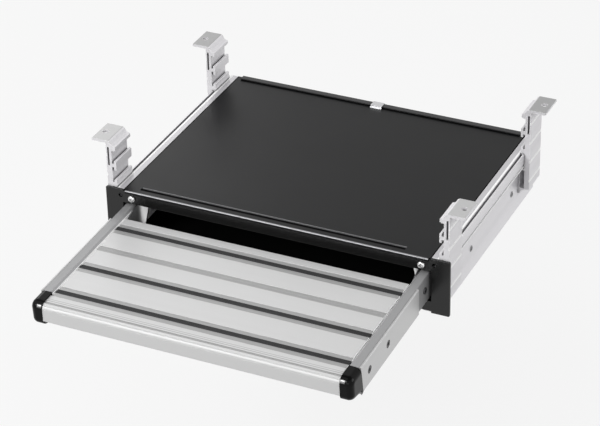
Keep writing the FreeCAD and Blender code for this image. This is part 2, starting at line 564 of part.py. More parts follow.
def stop_cheek(name, side):
    """Bright steel cheek on the arm's inner face; its raised ear meets the stop block."""
    body = new_body(name, tilted=True)
    s = sketch_on(body, name + "_side", "YZ_Plane", mirrored(side, "cheek_out - 0.8"))
    face = "block_back + stop_gap + 0.5"
    outline(s, [("deck_back + 6.5", "arm_low + 9.3"), ("deck_back + 6.5", "arm_top - 7.7"),
                ("deck_back + 20.5", "arm_top - 1.7"), (face, "arm_top + 0.3"), (face, "portal_top + 8.2"),
                (face + " + 15.2", "portal_top + 8.2"), (face + " + 19.2", "arm_top - 1.7"),
                (face + " + 25.7", "arm_top - arm_high * 0.5"), (face + " + 17.2", "arm_low + 3.3"),
                ("4", "arm_low + 3.3")])
    pad(body, s, "1.6", both=True)
    s = sketch_on(body, name + "_holes", "YZ_Plane")
    ring(s, "screw_back_y", "screw_z", "shaft_radius + shaft_gap")
    cut(body, s)
    soften(body, "Fillet", "3", lambda m, w: close(abs(w.x), 1)
           and m.y > number("block_back") + 15, name + "_round")
    s = sketch_on(body, name + "_ear", "XZ_Plane", "-2")
    box_outline(s, mirrored(side, "cheek_out - 1.6"), "arm_low + 3.3", mirrored(side, "cheek_out"), "arm_top - 1")
    index = s.GeometryCount
    hinge = mirrored(side, "cheek_out - 13")
    s.addGeometry(Part.LineSegment(FreeCAD.Vector(number(hinge), number("arm_low"), 0),
                                   FreeCAD.Vector(number(hinge), number("arm_top"), 0)), True)
    pin_point(s, index, 1, hinge, "arm_low")
    pin_point(s, index, 2, hinge, "arm_top")
    curl = body.newObject("PartDesign::Revolution", name + "_curl")
    curl.Profile = (s, [""])
    curl.ReferenceAxis = (s, ["Axis0"])
    curl.Angle = 90
    curl.Reversed = side < 0
    s.Visibility = False
    s = sketch_on(body, name + "_ear_edge", "XZ_Plane", "-2.5")
    outline(s, [(mirrored(side, "cheek_out - 14"), "arm_low + 2"), (mirrored(side, "cheek_out - 6.6"), "arm_low + 2"),
                (mirrored(side, "cheek_out - 12.6"), "arm_top - 6"), (mirrored(side, "cheek_out - 14"), "arm_top - 6")])
    cut(body, s, "16")
    return body


def stop_block(name, side):
    """Nylon stop block behind the plate's upper strip, held by the pan head screw."""
    body = new_body(name)
    s = sketch_on(body, name + "_top", "XY_Plane", "portal_top + 1")
    box_outline(s, mirrored(side, "stop_screw_x - 8.6"), "plate_thick", mirrored(side, "stop_screw_x + 8.4"),
                "block_back")
    pad(body, s, "plate_high - portal_top - 6.2")
    s = sketch_on(body, name + "_hole", "XZ_Plane")
    ring(s, mirrored(side, "stop_screw_x"), "stop_screw_z", "shaft_radius + shaft_gap")
    cut(body, s)
    return body


def carrier(name, side):
    """Flat steel carrier that holds the roller axle behind the arm."""
    body = new_body(name, tilted=True)
    s = sketch_on(body, name + "_side", "YZ_Plane", mirrored(side, "(carrier_in + arm_in) / 2"))
    half = "tie_high * 0.67"
    outline(s, [("tie_front - 6", "roller_z - " + half), ("roller_y + 4", "roller_z - " + half),
                ("carrier_back", "roller_z - tie_high * 0.28"), ("carrier_back", "roller_z + tie_high * 0.28"),
                ("roller_y + 4", "roller_z + " + half), ("tie_front - 6", "roller_z + " + half)])
    ring(s, "roller_y", "roller_z", "axle_radius + 0.05")
    ring(s, "(tie_front + tie_back) / 2", "roller_z", "shaft_radius + shaft_gap")
    pad(body, s, "arm_in - carrier_in - 0.1", both=True)
    return body


def axle(name, side):
    """Turned roller axle with a shoulder, a thin journal and a retaining flange."""
    body = new_body(name, tilted=True)
    s = sketch_on(body, name + "_half", "XZ_Plane", "-roller_y")
    section = [("carrier_in - 1", "roller_z"), ("carrier_in - 1", "roller_z + 6"), ("carrier_in - 0.05", "roller_z + 6"),
               ("carrier_in - 0.05", "roller_z + axle_radius"), ("arm_in", "roller_z + axle_radius"),
               ("arm_in", "roller_z + 7"), ("arm_in + 2.2", "roller_z + 7"),
               ("arm_in + 2.2", "roller_z + axle_radius"), ("arm_in + 14", "roller_z + axle_radius"),
               ("arm_in + 14", "roller_z + 6.5"), ("arm_in + 15", "roller_z + 6.5"), ("arm_in + 15", "roller_z")]
    outline(s, [(mirrored(side, a), b) for a, b in section])
    turned = body.newObject("PartDesign::Revolution", name + "_turned")
    turned.Profile = (s, [""])
    turned.ReferenceAxis = (s, ["Edge%d" % len(section)])
    turned.Angle = 360
    s.Visibility = False
    return body


def roller(name, side):
    """Plastic roller: rim, web and hub turned as one piece."""
    body = new_body(name, tilted=True)
    s = sketch_on(body, name + "_half", "XZ_Plane", "-roller_y")
    first = "arm_in + 2.5"
    last = "arm_in + 13.6"
    hub = "roller_z + roller_bore + 3"
    rim = "roller_z + roller_radius - 3.5"
    section = [(first, "roller_z + roller_bore"), (first, hub), (first + " + 3", hub), (first + " + 3", rim),
               (first, rim), (first, "roller_z + roller_radius - 1"), (first + " + 1", "roller_z + roller_radius"),
               (last + " - 1", "roller_z + roller_radius"), (last, "roller_z + roller_radius - 1"), (last, rim),
               (last + " - 3", rim), (last + " - 3", hub), (last, hub), (last, "roller_z + roller_bore")]
    outline(s, [(mirrored(side, a), b) for a, b in section])
    index = s.GeometryCount
    s.addGeometry(Part.LineSegment(FreeCAD.Vector(number(mirrored(side, first)), number("roller_z"), 0),
                                   FreeCAD.Vector(number(mirrored(side, last)), number("roller_z"), 0)), True)
    pin_point(s, index, 1, mirrored(side, first), "roller_z")
    pin_point(s, index, 2, mirrored(side, last), "roller_z")
    turned = body.newObject("PartDesign::Revolution", name + "_turned")
    turned.Profile = (s, [""])
    turned.ReferenceAxis = (s, ["Axis0"])
    turned.Angle = 360
    s.Visibility = False
    return body


def rear_buffer(name, side):
    """Rubber buffer on the cross member that the carrier meets when the step is pushed home."""
    body = new_body(name, tilted=False)
    s = sketch_on(body, name + "_side", "YZ_Plane", mirrored(side, "(carrier_in + arm_in) / 2"))
    face = "carrier_back + travel + stop_gap + 0.4"
    outline(s, [(face, "roller_z - 4"), ("wall_back - wall_thick - 0.05", "roller_z - 6"),
                ("wall_back - wall_thick - 0.05", "roller_z + 16"), (face, "roller_z + 14")])
    pad(body, s, "6", both=True)
    return body


for side, hand in ((-1, "left"), (1, "right")):
    guide_channel("guide_channel_" + hand, side)
    arm("arm_" + hand, side)
    arm_trim("arm_trim_" + hand, side)
    end_cap("end_cap_" + hand, side)
    stop_cheek("stop_cheek_" + hand, side)
    stop_block("stop_block_" + hand, side)
    carrier("roller_carrier_" + hand, side)
    axle("roller_axle_" + hand, side)
    roller("roller_" + hand, side)
    rear_buffer("rear_buffer_" + hand, side)


def plank(name, corners, chambers, screws, half="deck_half"):
    """Extruded deck plank or nosing, hollow, with its grooves drawn in the section."""
    body = new_body(name, tilted=True)
    s = sketch_on(body, name + "_section", "YZ_Plane")
    outline(s, corners)
    for y0, z0, y1, z1 in chambers:
        box_outline(s, y0, z0, y1, z1)
    for where in screws:
        ring(s, where, "screw_z", "shaft_radius + shaft_gap")
    pad(body, s, half + " * 2", both=True)
    return body


def groove(middle):
    """Corners of a sunk band with a strip groove in it, drawn from back to front."""
    sunk = "deck_top - band_deep"
    floor = "deck_top - band_deep - strip_deep"
    return [(middle + " + band_half", "deck_top"), (middle + " + band_half", sunk),
            (middle + " + strip_wide / 2", sunk), (middle + " + strip_wide / 2 + 0.5", floor),
            (middle + " - strip_wide / 2 - 0.5", floor), (middle + " - strip_wide / 2", sunk),
            (middle + " - band_half", sunk), (middle + " - band_half - band_slope", "deck_top")]


seam_back = [("seam + seam_half", "deck_top"), ("seam + seam_half", "deck_top - band_deep"),
             ("seam + 0.15", "deck_top - band_deep")]
seam_front = [("seam - 0.15", "deck_top - band_deep"), ("seam - seam_half", "deck_top - band_deep"),
              ("seam - seam_half - band_slope / 2", "deck_top")]
floor = "deck_low + 1.8"
roof = "deck_top - 4.6"
port = "(shaft_radius + shaft_gap + port_wall)"
plank("deck_plank_rear",
      [("deck_back", "deck_low"), ("deck_back", "deck_top - 1"), ("deck_back - 1", "deck_top")]
      + groove("strip_rear") + seam_back
      + [("seam + 0.15", "deck_low + 10"), ("seam - 5", "deck_low + 10"), ("seam - 5", "deck_low + 7"),
         ("seam + 0.15", "deck_low + 7"), ("seam + 0.15", "deck_low")],
      [("deck_back - 2", floor, "strip_rear + 1", roof), ("strip_rear - 1", floor, "(strip_rear + seam) / 2 + 1", roof),
       ("(strip_rear + seam) / 2 - 1", floor, "seam + 2.4", roof)], [])
plank("deck_plank_front",
      seam_front + groove("strip_middle")
      + groove("strip_front")[:-1] + [("nose_back + 0.1", "deck_top - band_deep"), ("nose_back + 0.1", "deck_low"),
                                      ("seam - 0.15", "deck_low"), ("seam - 0.15", "deck_low + 6.7"),
                                      ("seam - 5.3", "deck_low + 6.7"), ("seam - 5.3", "deck_low + 10.3"),
                                      ("seam - 0.15", "deck_low + 10.3")],
      [("seam - 7.6", floor, "screw_middle_y + " + port, roof),
       ("screw_middle_y - " + port, floor, "(screw_middle_y + screw_front_y) / 2 + 1", roof),
       ("(screw_middle_y + screw_front_y) / 2 - 1", floor, "screw_front_y + " + port, roof),
       ("screw_front_y - " + port, floor, "nose_back + 2.4", roof)], ["screw_front_y", "screw_middle_y"])
body = plank("nosing",
             [("nose_back", "nose_low"), ("nose_back", "deck_top - band_deep"), ("nose_back - 1.2", "deck_top"),
              ("nose_front + 8", "deck_top"),
              ("nose_front", "deck_top"), ("nose_front", "nose_low")],
             [("nose_back - 2.2", "nose_low + 2", "nose_front + 2.4", "deck_top - 5.4")], [], "nose_half")
soften(body, "Fillet", "nose_round", lambda m, w: close(abs(w.x), 1) and close(m.y, number("nose_front"))
       and close(m.z, number("deck_top")), "nosing_round")
soften(body, "Fillet", "1.2", lambda m, w: close(abs(w.x), 1) and close(m.y, number("nose_front"))
       and close(m.z, number("nose_low")), "nosing_foot")
s = sketch_on(body, "nosing_lines", "YZ_Plane")
outline(s, [("nose_front + 8.3", "deck_top + 1"), ("nose_front + 6.9", "deck_top + 1"),
            ("nose_front + 6.9", "deck_top - 0.7"), ("nose_front + 8.3", "deck_top - 0.6")])
outline(s, [("nose_front + 3.1", "deck_top + 1"), ("nose_front + 1.6", "deck_top + 1"),
            ("nose_front + 2", "deck_top - 2.9"), ("nose_front + 3.2", "deck_top - 2.4")])
outline(s, [("nose_front - 1", "deck_top - 5.7"), ("nose_front + 0.5", "deck_top - 5.7"),
            ("nose_front + 0.5", "deck_top - 6.9"), ("nose_front - 1", "deck_top - 6.9")])
cut(body, s)


def grip_strip(name, middle):
    """Black rubber strip pressed into its groove, ribbed on top."""
    body = new_body(name, tilted=True)
    s = sketch_on(body, name + "_section", "YZ_Plane")
    floor = "deck_top - band_deep - strip_deep + 0.05"
    top = "deck_top - 0.1"
    corners = [(middle + " + strip_wide / 2 + 0.3", floor), (middle + " + strip_wide / 2 - 0.15", top)]
    for step in ("1.2", "-1.2"):
        corners += [(middle + " + " + step + " + 0.4", top), (middle + " + " + step + " + 0.2", top + " - 0.4"),
                    (middle + " + " + step + " - 0.2", top + " - 0.4"), (middle + " + " + step + " - 0.4", top)]
    corners += [(middle + " - strip_wide / 2 + 0.15", top), (middle + " - strip_wide / 2 - 0.3", floor)]
    outline(s, corners)
    pad(body, s, "deck_half * 2 - 0.2", both=True)
    return body


grip_strip("grip_strip_rear", "strip_rear")
grip_strip("grip_strip_middle", "strip_middle")
grip_strip("grip_strip_front", "strip_front")

# Tie bar: square tube across the back ends of the arms.
body = new_body("tie_bar", tilted=True)
s = sketch_on(body, "tie_section", "YZ_Plane")
box_outline(s, "tie_front", "roller_z - tie_high / 2", "tie_back", "roller_z + tie_high / 2")
box_outline(s, "tie_front + 1.6", "roller_z - tie_high / 2 + 1.6", "tie_back - 1.6",
            "roller_z + tie_high / 2 - 1.6")
pad(body, s, "carrier_in * 2 - 7", both=True)
for side, hand in ((-1, "left"), (1, "right")):
    s = sketch_on(body, "tie_plug_" + hand, "YZ_Plane", mirrored(side, "carrier_in - 6.2"))
    box_outline(s, "tie_front", "roller_z - tie_high / 2", "tie_back", "roller_z + tie_high / 2")
    pad(body, s, "12", both=True)
s = sketch_on(body, "tie_holes", "YZ_Plane")
ring(s, "(tie_front + tie_back) / 2", "roller_z", "shaft_radius + shaft_gap")
cut(body, s)


def cylinder(name, start, way, radius, length):
    """Cylinder from a start point, along +X, -X, +Y or -Y."""
    item = doc.addObject("Part::Cylinder", name)
    item.setExpression("Radius", linked(radius))
    item.setExpression("Height", linked(length))
    turn = {"+X": (FreeCAD.Vector(0, 1, 0), 90), "-X": (FreeCAD.Vector(0, 1, 0), -90),
            "+Y": (FreeCAD.Vector(1, 0, 0), -90), "-Y": (FreeCAD.Vector(1, 0, 0), 90)}[way]
    item.Placement = FreeCAD.Placement(FreeCAD.Vector(0, 0, 0), FreeCAD.Rotation(*turn))
    for axis, words in zip("xyz", start):
        item.setExpression("Placement.Base." + axis, linked(words))
    return item


def hexagon(name, start, way, radius, length):
    """Hexagonal prism for the socket in a screw head."""
    item = doc.addObject("Part::Prism", name)
    item.Polygon = 6
    item.setExpression("Circumradius", linked(radius))
    item.setExpression("Height", linked(length))
    turn = {"+X": (FreeCAD.Vector(0, 1, 0), 90), "-X": (FreeCAD.Vector(0, 1, 0), -90),
            "+Y": (FreeCAD.Vector(1, 0, 0), -90), "-Y": (FreeCAD.Vector(1, 0, 0), 90)}[way]
    item.Placement = FreeCAD.Placement(FreeCAD.Vector(0, 0, 0), FreeCAD.Rotation(*turn))
    for axis, words in zip("xyz", start):
        item.setExpression("Placement.Base." + axis, linked(words))
    return item


def screw(name, face, way, head_radius, head_high, length, dome=0.4):
    """Screw whose head's outer face is at face; the shaft runs along way, dome rounds the head."""
    head = cylinder(name + "_head", face, way, head_radius, head_high)
    shaft = cylinder(name + "_shaft", face, way, "shaft_radius", length)
    whole = doc.addObject("Part::MultiFuse", name + "_whole")
    whole.Shapes = [head, shaft]
    doc.recompute()
    rim = [(i + 1, dome, dome) for i, e in enumerate(whole.Shape.Edges)
           if isinstance(e.Curve, Part.Circle) and abs(e.Curve.Radius - number(head_radius)) < 0.01
           and (e.CenterOfMass - FreeCAD.Vector(*[number(w) for w in face])).Length < 0.05]
    eased = doc.addObject("Part::Fillet", name + "_eased")
    eased.Base = whole
    eased.Edges = rim
    tool = hexagon(name + "_socket", face, way, "1.7", head_high + " * 0.7")
    done = doc.addObject("Part::Cut", name)
    done.Base = eased
    done.Tool = tool
    return done


def group(name, members, tilted=False):
    """One node made of separate, identical fasteners."""
    item = doc.addObject("Part::Compound", name)
    item.Label = name
    item.Links = members
    place(item, tilted)
    return item


# Fasteners, each kind as one node.
members = []
for side, hand in ((-1, "l"), (1, "r")):
    way = "-X" if side > 0 else "+X"
    members.append(screw("arm_screw_front_" + hand, (mirrored(side, "skin_out - 0.1"), "screw_front_y", "screw_z"),
                         way, "4.7", "1.5", "skin_out - arm_in + 9", 0.9))
    members.append(screw("arm_screw_middle_" + hand, (mirrored(side, "skin_out - 0.1"), "screw_middle_y", "screw_z"),
                         way, "4.7", "1.5", "skin_out - arm_in + 9", 0.9))
    members.append(screw("arm_screw_back_" + hand, (mirrored(side, "arm_out + 1.6"), "screw_back_y", "screw_z"),
                         way, "4.7", "1.55", "arm_out - arm_in + 4.5", 0.9))
group("arm_screws", members, tilted=True)

members = []
for side, hand in ((-1, "l"), (1, "r")):
    way = "-X" if side > 0 else "+X"
    members.append(screw("tie_screw_" + hand, (mirrored(side, "arm_out + 1.7"), "(tie_front + tie_back) / 2", "roller_z"),
                         way, "4.7", "1.65", "arm_out - arm_in + 13"))
group("tie_screws", members, tilted=True)

members = []
for side, hand in ((-1, "l"), (1, "r")):
    members.append(screw("stop_screw_" + hand, (mirrored(side, "stop_screw_x"), "-3.9", "stop_screw_z"),
                         "+Y", "5.1", "3.85", "13.1", 2.6))
group("stop_screws", members)

members = []
for side, hand in ((-1, "l"), (1, "r")):
    way = "-X" if side > 0 else "+X"
    for place_name, where in (("front", "rivet_front"), ("back", "rivet_back")):
        members.append(screw("channel_rivet_" + place_name + "_" + hand,
                             (mirrored(side, "rail_web + 0.9"), where, "mark_z"), way, "4.2", "0.85",
                             "rail_skin + 0.6", 0.6))
group("channel_rivets", members)

doc.recompute()

# Check every object and write the nodes.
for item in doc.Objects:
    if "Invalid" in item.State or "Error" in item.State:
        raise ValueError("broken: " + item.Name + " " + str(item.State))

written = 0
for item in doc.Objects:
    if item.TypeId in ("PartDesign::Body", "Part::Compound"):
        shape = item.Shape
        if shape.isNull() or not shape.isValid():
            raise ValueError("bad shape: " + item.Name)
        shape.exportStep("parts/" + item.Label + ".step")
        written += 1
        box = shape.BoundBox
        print("%-22s solids %d volume %9.0f  x %7.1f %7.1f  y %7.1f %7.1f  z %7.1f %7.1f" % (
            item.Label, len(shape.Solids), shape.Volume, box.XMin, box.XMax, box.YMin, box.YMax, box.ZMin, box.ZMax))
print("nodes", written)
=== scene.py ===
"""Looks for the slide-out step: finishes, fastener heads, ribbed grip strips and a plain studio."""

import logging
import math
from collections.abc import Callable
from dataclasses import dataclass, field
from enum import Enum

import bmesh
import bpy
from mathutils import Matrix, Vector

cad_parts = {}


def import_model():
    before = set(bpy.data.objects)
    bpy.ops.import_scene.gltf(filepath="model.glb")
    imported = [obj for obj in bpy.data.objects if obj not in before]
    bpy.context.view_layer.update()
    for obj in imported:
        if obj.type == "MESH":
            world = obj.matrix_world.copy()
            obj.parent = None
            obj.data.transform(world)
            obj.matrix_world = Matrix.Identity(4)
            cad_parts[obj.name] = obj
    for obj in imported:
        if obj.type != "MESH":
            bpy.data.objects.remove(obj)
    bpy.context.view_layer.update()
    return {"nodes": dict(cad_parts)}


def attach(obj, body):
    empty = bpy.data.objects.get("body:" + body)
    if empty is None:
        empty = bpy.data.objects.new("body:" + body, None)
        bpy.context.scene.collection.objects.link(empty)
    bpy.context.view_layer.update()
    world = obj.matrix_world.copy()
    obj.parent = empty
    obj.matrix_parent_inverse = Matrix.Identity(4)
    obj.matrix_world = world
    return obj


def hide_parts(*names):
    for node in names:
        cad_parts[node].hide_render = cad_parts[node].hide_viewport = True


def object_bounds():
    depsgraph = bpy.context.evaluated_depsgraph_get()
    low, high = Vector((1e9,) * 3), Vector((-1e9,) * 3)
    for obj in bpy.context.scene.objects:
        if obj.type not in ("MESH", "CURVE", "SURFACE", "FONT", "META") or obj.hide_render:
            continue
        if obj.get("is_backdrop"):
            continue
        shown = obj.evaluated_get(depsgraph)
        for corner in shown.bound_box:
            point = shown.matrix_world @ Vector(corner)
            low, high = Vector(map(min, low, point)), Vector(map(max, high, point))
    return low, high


MM = 0.001
TILT = math.radians(1.27)
ORIGIN_BACK = 170.3
ORIGIN_UP = 149.2
ARM_TOP = 59.7
DECK_TOP = 57.3
SIDES = ((-1, "left"), (1, "right"))
EDGE_ANGLE = math.radians(38)
GRAIN_SIZE = 900.0
LINE_SIZE = 700.0
STREAK_SIZE = 90.0
CLOUD_SIZE = 14.0
ROUGHNESS_SPREAD = 0.08
BUMP_STRENGTH = 0.6
BUMP_DISTANCE = 0.00006
# Colours of the painted highlight on outer edges and of the painted shade in inner corners.
EDGE_HIGHLIGHT_WHITE = (0.95, 0.95, 0.95)
CORNER_SHADE_DARK = (0.02, 0.02, 0.02)
LOG = logging.getLogger("slide_out_step")


def step_matrix() -> Matrix:
    """Gives the placement of the sloping step: plate millimetres to frame metres.

    Returns:
        The matrix that takes a point of the step, in millimetres from the plate, to the frame.
    """
    turn = Matrix.Rotation(TILT, 4, "X")
    lift = Matrix.Translation((0, ARM_TOP * math.sin(TILT) - ORIGIN_BACK,
                               ARM_TOP - ARM_TOP * math.cos(TILT) - ORIGIN_UP))
    return Matrix.Scale(MM, 4) @ lift @ turn


def housing_matrix() -> Matrix:
    """Gives the placement of the level housing: plate millimetres to frame metres.

    Returns:
        The matrix that takes a point of the housing, in millimetres from the plate, to the frame.
    """
    return Matrix.Scale(MM, 4) @ Matrix.Translation((0, -ORIGIN_BACK, -ORIGIN_UP))


class Along(Enum):
    """Direction in which a surface was drawn, rolled or brushed."""

    X = (0.02, 1.0, 1.0)
    Y = (1.0, 0.02, 1.0)
    NONE = (1.0, 1.0, 1.0)


class Measure(Enum):
    """Distance by which a mark is placed on a surface."""

    ACROSS = "Across"
    OUT = "Out"
    BACK = "Back"
    UP = "Up"
    TREAD = "Tread"


@dataclass(frozen=True)
class Mark:
    """A place on a surface whose colour, metal and roughness differ from the rest."""

    limits: tuple[tuple[Measure, float, float], ...]
    colour: tuple[float, float, float]
    metallic: float
    roughness: float
    share: float = 1.0
    fade: float = 0.2


class NodeSheet:
    """Short way to lay out shader nodes in one tree."""

    def __init__(self, tree: bpy.types.NodeTree) -> None:
        """Keeps the tree that the nodes go into."""
        self.tree = tree

    def add(self, kind: str, **values: object) -> bpy.types.Node:
        """Adds a node and sets its properties.

        Args:
            kind: Blender's name of the node type.
            **values: Properties of the node.

        Returns:
            The new node.
        """
        node = self.tree.nodes.new(kind)
        for name, value in values.items():
            setattr(node, name, value)
        return node

    def link(self, start: bpy.types.NodeSocket, end: bpy.types.NodeSocket) -> None:
        """Joins an output to an input."""
        self.tree.links.new(start, end)

    def sum(self, kind: str, first: object, second: object, clamp: bool = False) -> bpy.types.NodeSocket:
        """Adds a Math node whose inputs are sockets or numbers.

        Args:
            kind: The operation.
            first: First input.
            second: Second input.
            clamp: Whether the result is kept between 0 and 1.

        Returns:
            The node's output.
        """
        node = self.add("ShaderNodeMath", operation=kind, use_clamp=clamp)
        for index, item in enumerate((first, second)):
            if isinstance(item, bpy.types.NodeSocket):
                self.link(item, node.inputs[index])
            else:
                node.inputs[index].default_value = item
        return node.outputs[0]


def new_group(name: str, inputs: list[tuple[str, str, object]], outputs: list[tuple[str, str]]) -> NodeSheet:
    """Makes an empty node group with named sockets.

    Args:
        name: Name of the group.
        inputs: Name, socket type and default of each input.
        outputs: Name and socket type of each output.

    Returns:
        The group's node sheet.
    """
    tree = bpy.data.node_groups.new(name, "ShaderNodeTree")
    for label, kind, value in inputs:
        socket = tree.interface.new_socket(name=label, in_out="INPUT", socket_type=kind)
        socket.default_value = value
    for label, kind in outputs:
        tree.interface.new_socket(name=label, in_out="OUTPUT", socket_type=kind)
    return NodeSheet(tree)


def grain_group() -> bpy.types.NodeTree:
    """Builds the fine pebble of powder coat, moulding or blasting.

    Returns:
        The node group, with a height and a mask.
    """
    sheet = new_group("surface_grain", [("Size", "NodeSocketFloat", GRAIN_SIZE),
                                        ("Depth", "NodeSocketFloat", 1.0)],
                      [("Height", "NodeSocketFloat"), ("Mask", "NodeSocketFloat")])
    start = sheet.add("NodeGroupInput")
    end = sheet.add("NodeGroupOutput")
    place = sheet.add("ShaderNodeTexCoord")
    fine = sheet.add("ShaderNodeTexNoise")
    fine.inputs["Detail"].default_value = 3.0
    broad = sheet.add("ShaderNodeTexNoise")
    broad.inputs["Scale"].default_value = CLOUD_SIZE
    broad.inputs["Detail"].default_value = 4.0
    sheet.link(place.outputs["Object"], fine.inputs["Vector"])
    sheet.link(place.outputs["Object"], broad.inputs["Vector"])
    sheet.link(start.outputs["Size"], fine.inputs["Scale"])
    sheet.link(sheet.sum("MULTIPLY", fine.outputs[0], start.outputs["Depth"]), end.inputs["Height"])
    sheet.link(broad.outputs[0], end.inputs["Mask"])
    return sheet.tree


def drawn_group() -> bpy.types.NodeTree:
    """Builds the long faint lines of an extruded or brushed metal.

    Returns:
        The node group, with fine lines and broad streaks.
    """
    sheet = new_group("drawn_lines", [("Stretch", "NodeSocketVector", (1.0, 1.0, 1.0)),
                                      ("Size", "NodeSocketFloat", LINE_SIZE)],
                      [("Lines", "NodeSocketFloat"), ("Streaks", "NodeSocketFloat")])
    start = sheet.add("NodeGroupInput")
    end = sheet.add("NodeGroupOutput")
    place = sheet.add("ShaderNodeTexCoord")
    scale = sheet.add("ShaderNodeVectorMath", operation="MULTIPLY")
    sheet.link(place.outputs["Object"], scale.inputs[0])
    sheet.link(start.outputs["Stretch"], scale.inputs[1])
    lines = sheet.add("ShaderNodeTexNoise")
    lines.inputs["Detail"].default_value = 4.0
    sheet.link(scale.outputs[0], lines.inputs["Vector"])
    sheet.link(start.outputs["Size"], lines.inputs["Scale"])
    streaks = sheet.add("ShaderNodeTexNoise")
    streaks.inputs["Detail"].default_value = 3.0
    streaks.inputs["Scale"].default_value = STREAK_SIZE
    sheet.link(scale.outputs[0], streaks.inputs["Vector"])
    sheet.link(lines.outputs[0], end.inputs["Lines"])
    sheet.link(streaks.outputs[0], end.inputs["Streaks"])
    return sheet.tree


def place_group() -> bpy.types.NodeTree:
    """Builds the distances of a surface point from the plate, in millimetres.

    Returns:
        The node group, with the distance across, the same without its sign, the distance back, the
        height and the height over the sloping tread.
    """
    sheet = new_group("part_place", [("Slope", "NodeSocketFloat", math.tan(TILT))],
                      [(measure.value, "NodeSocketFloat") for measure in Measure])
    start = sheet.add("NodeGroupInput")
    end = sheet.add("NodeGroupOutput")
    place = sheet.add("ShaderNodeTexCoord")
    split = sheet.add("ShaderNodeSeparateXYZ")
    sheet.link(place.outputs["Object"], split.inputs[0])
    back = sheet.sum("ADD", sheet.sum("MULTIPLY", split.outputs["Y"], 1000.0), ORIGIN_BACK)
    height = sheet.sum("ADD", sheet.sum("MULTIPLY", split.outputs["Z"], 1000.0), ORIGIN_UP)
    fall = sheet.sum("MULTIPLY", back, start.outputs["Slope"])
    across = sheet.sum("MULTIPLY", split.outputs["X"], 1000.0)
    sheet.link(across, end.inputs["Across"])
    sheet.link(sheet.sum("ABSOLUTE", across, 0.0), end.inputs["Out"])
    sheet.link(back, end.inputs["Back"])
    sheet.link(height, end.inputs["Up"])
    sheet.link(sheet.sum("SUBTRACT", sheet.sum("SUBTRACT", height, fall), DECK_TOP), end.inputs["Tread"])
    return sheet.tree


def between_group() -> bpy.types.NodeTree:
    """Builds a mask that is 1 between two limits and fades out over a short distance.

    Returns:
        The node group, with the mask.
    """
    sheet = new_group("between_limits", [("Value", "NodeSocketFloat", 0.0), ("Low", "NodeSocketFloat", 0.0),
                                         ("High", "NodeSocketFloat", 1.0), ("Fade", "NodeSocketFloat", 0.2)],
                      [("Mask", "NodeSocketFloat")])
    start = sheet.add("NodeGroupInput")
    end = sheet.add("NodeGroupOutput")
    over = sheet.sum("DIVIDE", sheet.sum("SUBTRACT", start.outputs["Value"], start.outputs["Low"]),
                     start.outputs["Fade"])
    under = sheet.sum("DIVIDE", sheet.sum("SUBTRACT", start.outputs["High"], start.outputs["Value"]),
                      start.outputs["Fade"])
    nearer = sheet.sum("MINIMUM", over, under)
    sheet.link(sheet.sum("ADD", nearer, 0.5, clamp=True), end.inputs["Mask"])
    return sheet.tree


def highlight_shade_group() -> bpy.types.NodeTree:
    """Builds masks of the outer edges and of the inner corners, for a painted highlight and painted shade.

    Returns:
        The node group, with a mask of the edges and a mask of the corners.
    """
    sheet = new_group("rubbed_and_dull", [("Radius", "NodeSocketFloat", 0.0007),
                                          ("Reach", "NodeSocketFloat", 0.004), ("Gain", "NodeSocketFloat", 5.0)],
                      [("Edge", "NodeSocketFloat"), ("Corner", "NodeSocketFloat")])
    start = sheet.add("NodeGroupInput")
    end = sheet.add("NodeGroupOutput")
    soft = sheet.add("ShaderNodeBevel", samples=6)
    true = sheet.add("ShaderNodeNewGeometry")
    sheet.link(start.outputs["Radius"], soft.inputs["Radius"])
    along = sheet.add("ShaderNodeVectorMath", operation="DOT_PRODUCT")
    sheet.link(soft.outputs[0], along.inputs[0])
    sheet.link(true.outputs["Normal"], along.inputs[1])
    near = sheet.add("ShaderNodeAmbientOcclusion", samples=6)
    sheet.link(start.outputs["Reach"], near.inputs["Distance"])
    corner = sheet.sum("SUBTRACT", 1.0, near.outputs["AO"], clamp=True)
    turned = sheet.sum("SUBTRACT", 1.0, along.outputs["Value"], clamp=True)
    bent = sheet.sum("MULTIPLY", turned, start.outputs["Gain"])
    sheet.link(sheet.sum("SUBTRACT", bent, sheet.sum("MULTIPLY", corner, 2.0), clamp=True), end.inputs["Edge"])
    sheet.link(corner, end.inputs["Corner"])
    return sheet.tree


def groove_group() -> bpy.types.NodeTree:
    """Builds the fine anti-slip ribs that run the length of a tread panel.

    Returns:
        The node group, with the height of the ribs.
    """
    sheet = new_group("fine_ribs", [("Pitch", "NodeSocketFloat", 1.5)], [("Height", "NodeSocketFloat")])
    start = sheet.add("NodeGroupInput")
    end = sheet.add("NodeGroupOutput")
    place = sheet.add("ShaderNodeTexCoord")
    split = sheet.add("ShaderNodeSeparateXYZ")
    sheet.link(place.outputs["Object"], split.inputs[0])
    turns = sheet.sum("DIVIDE", split.outputs["Y"], start.outputs["Pitch"])
    wave = sheet.sum("SINE", sheet.sum("MULTIPLY", turns, 2000.0 * math.pi), 0.0)
    sheet.link(sheet.sum("MULTIPLY", wave, 0.5), end.inputs["Height"])
    return sheet.tree


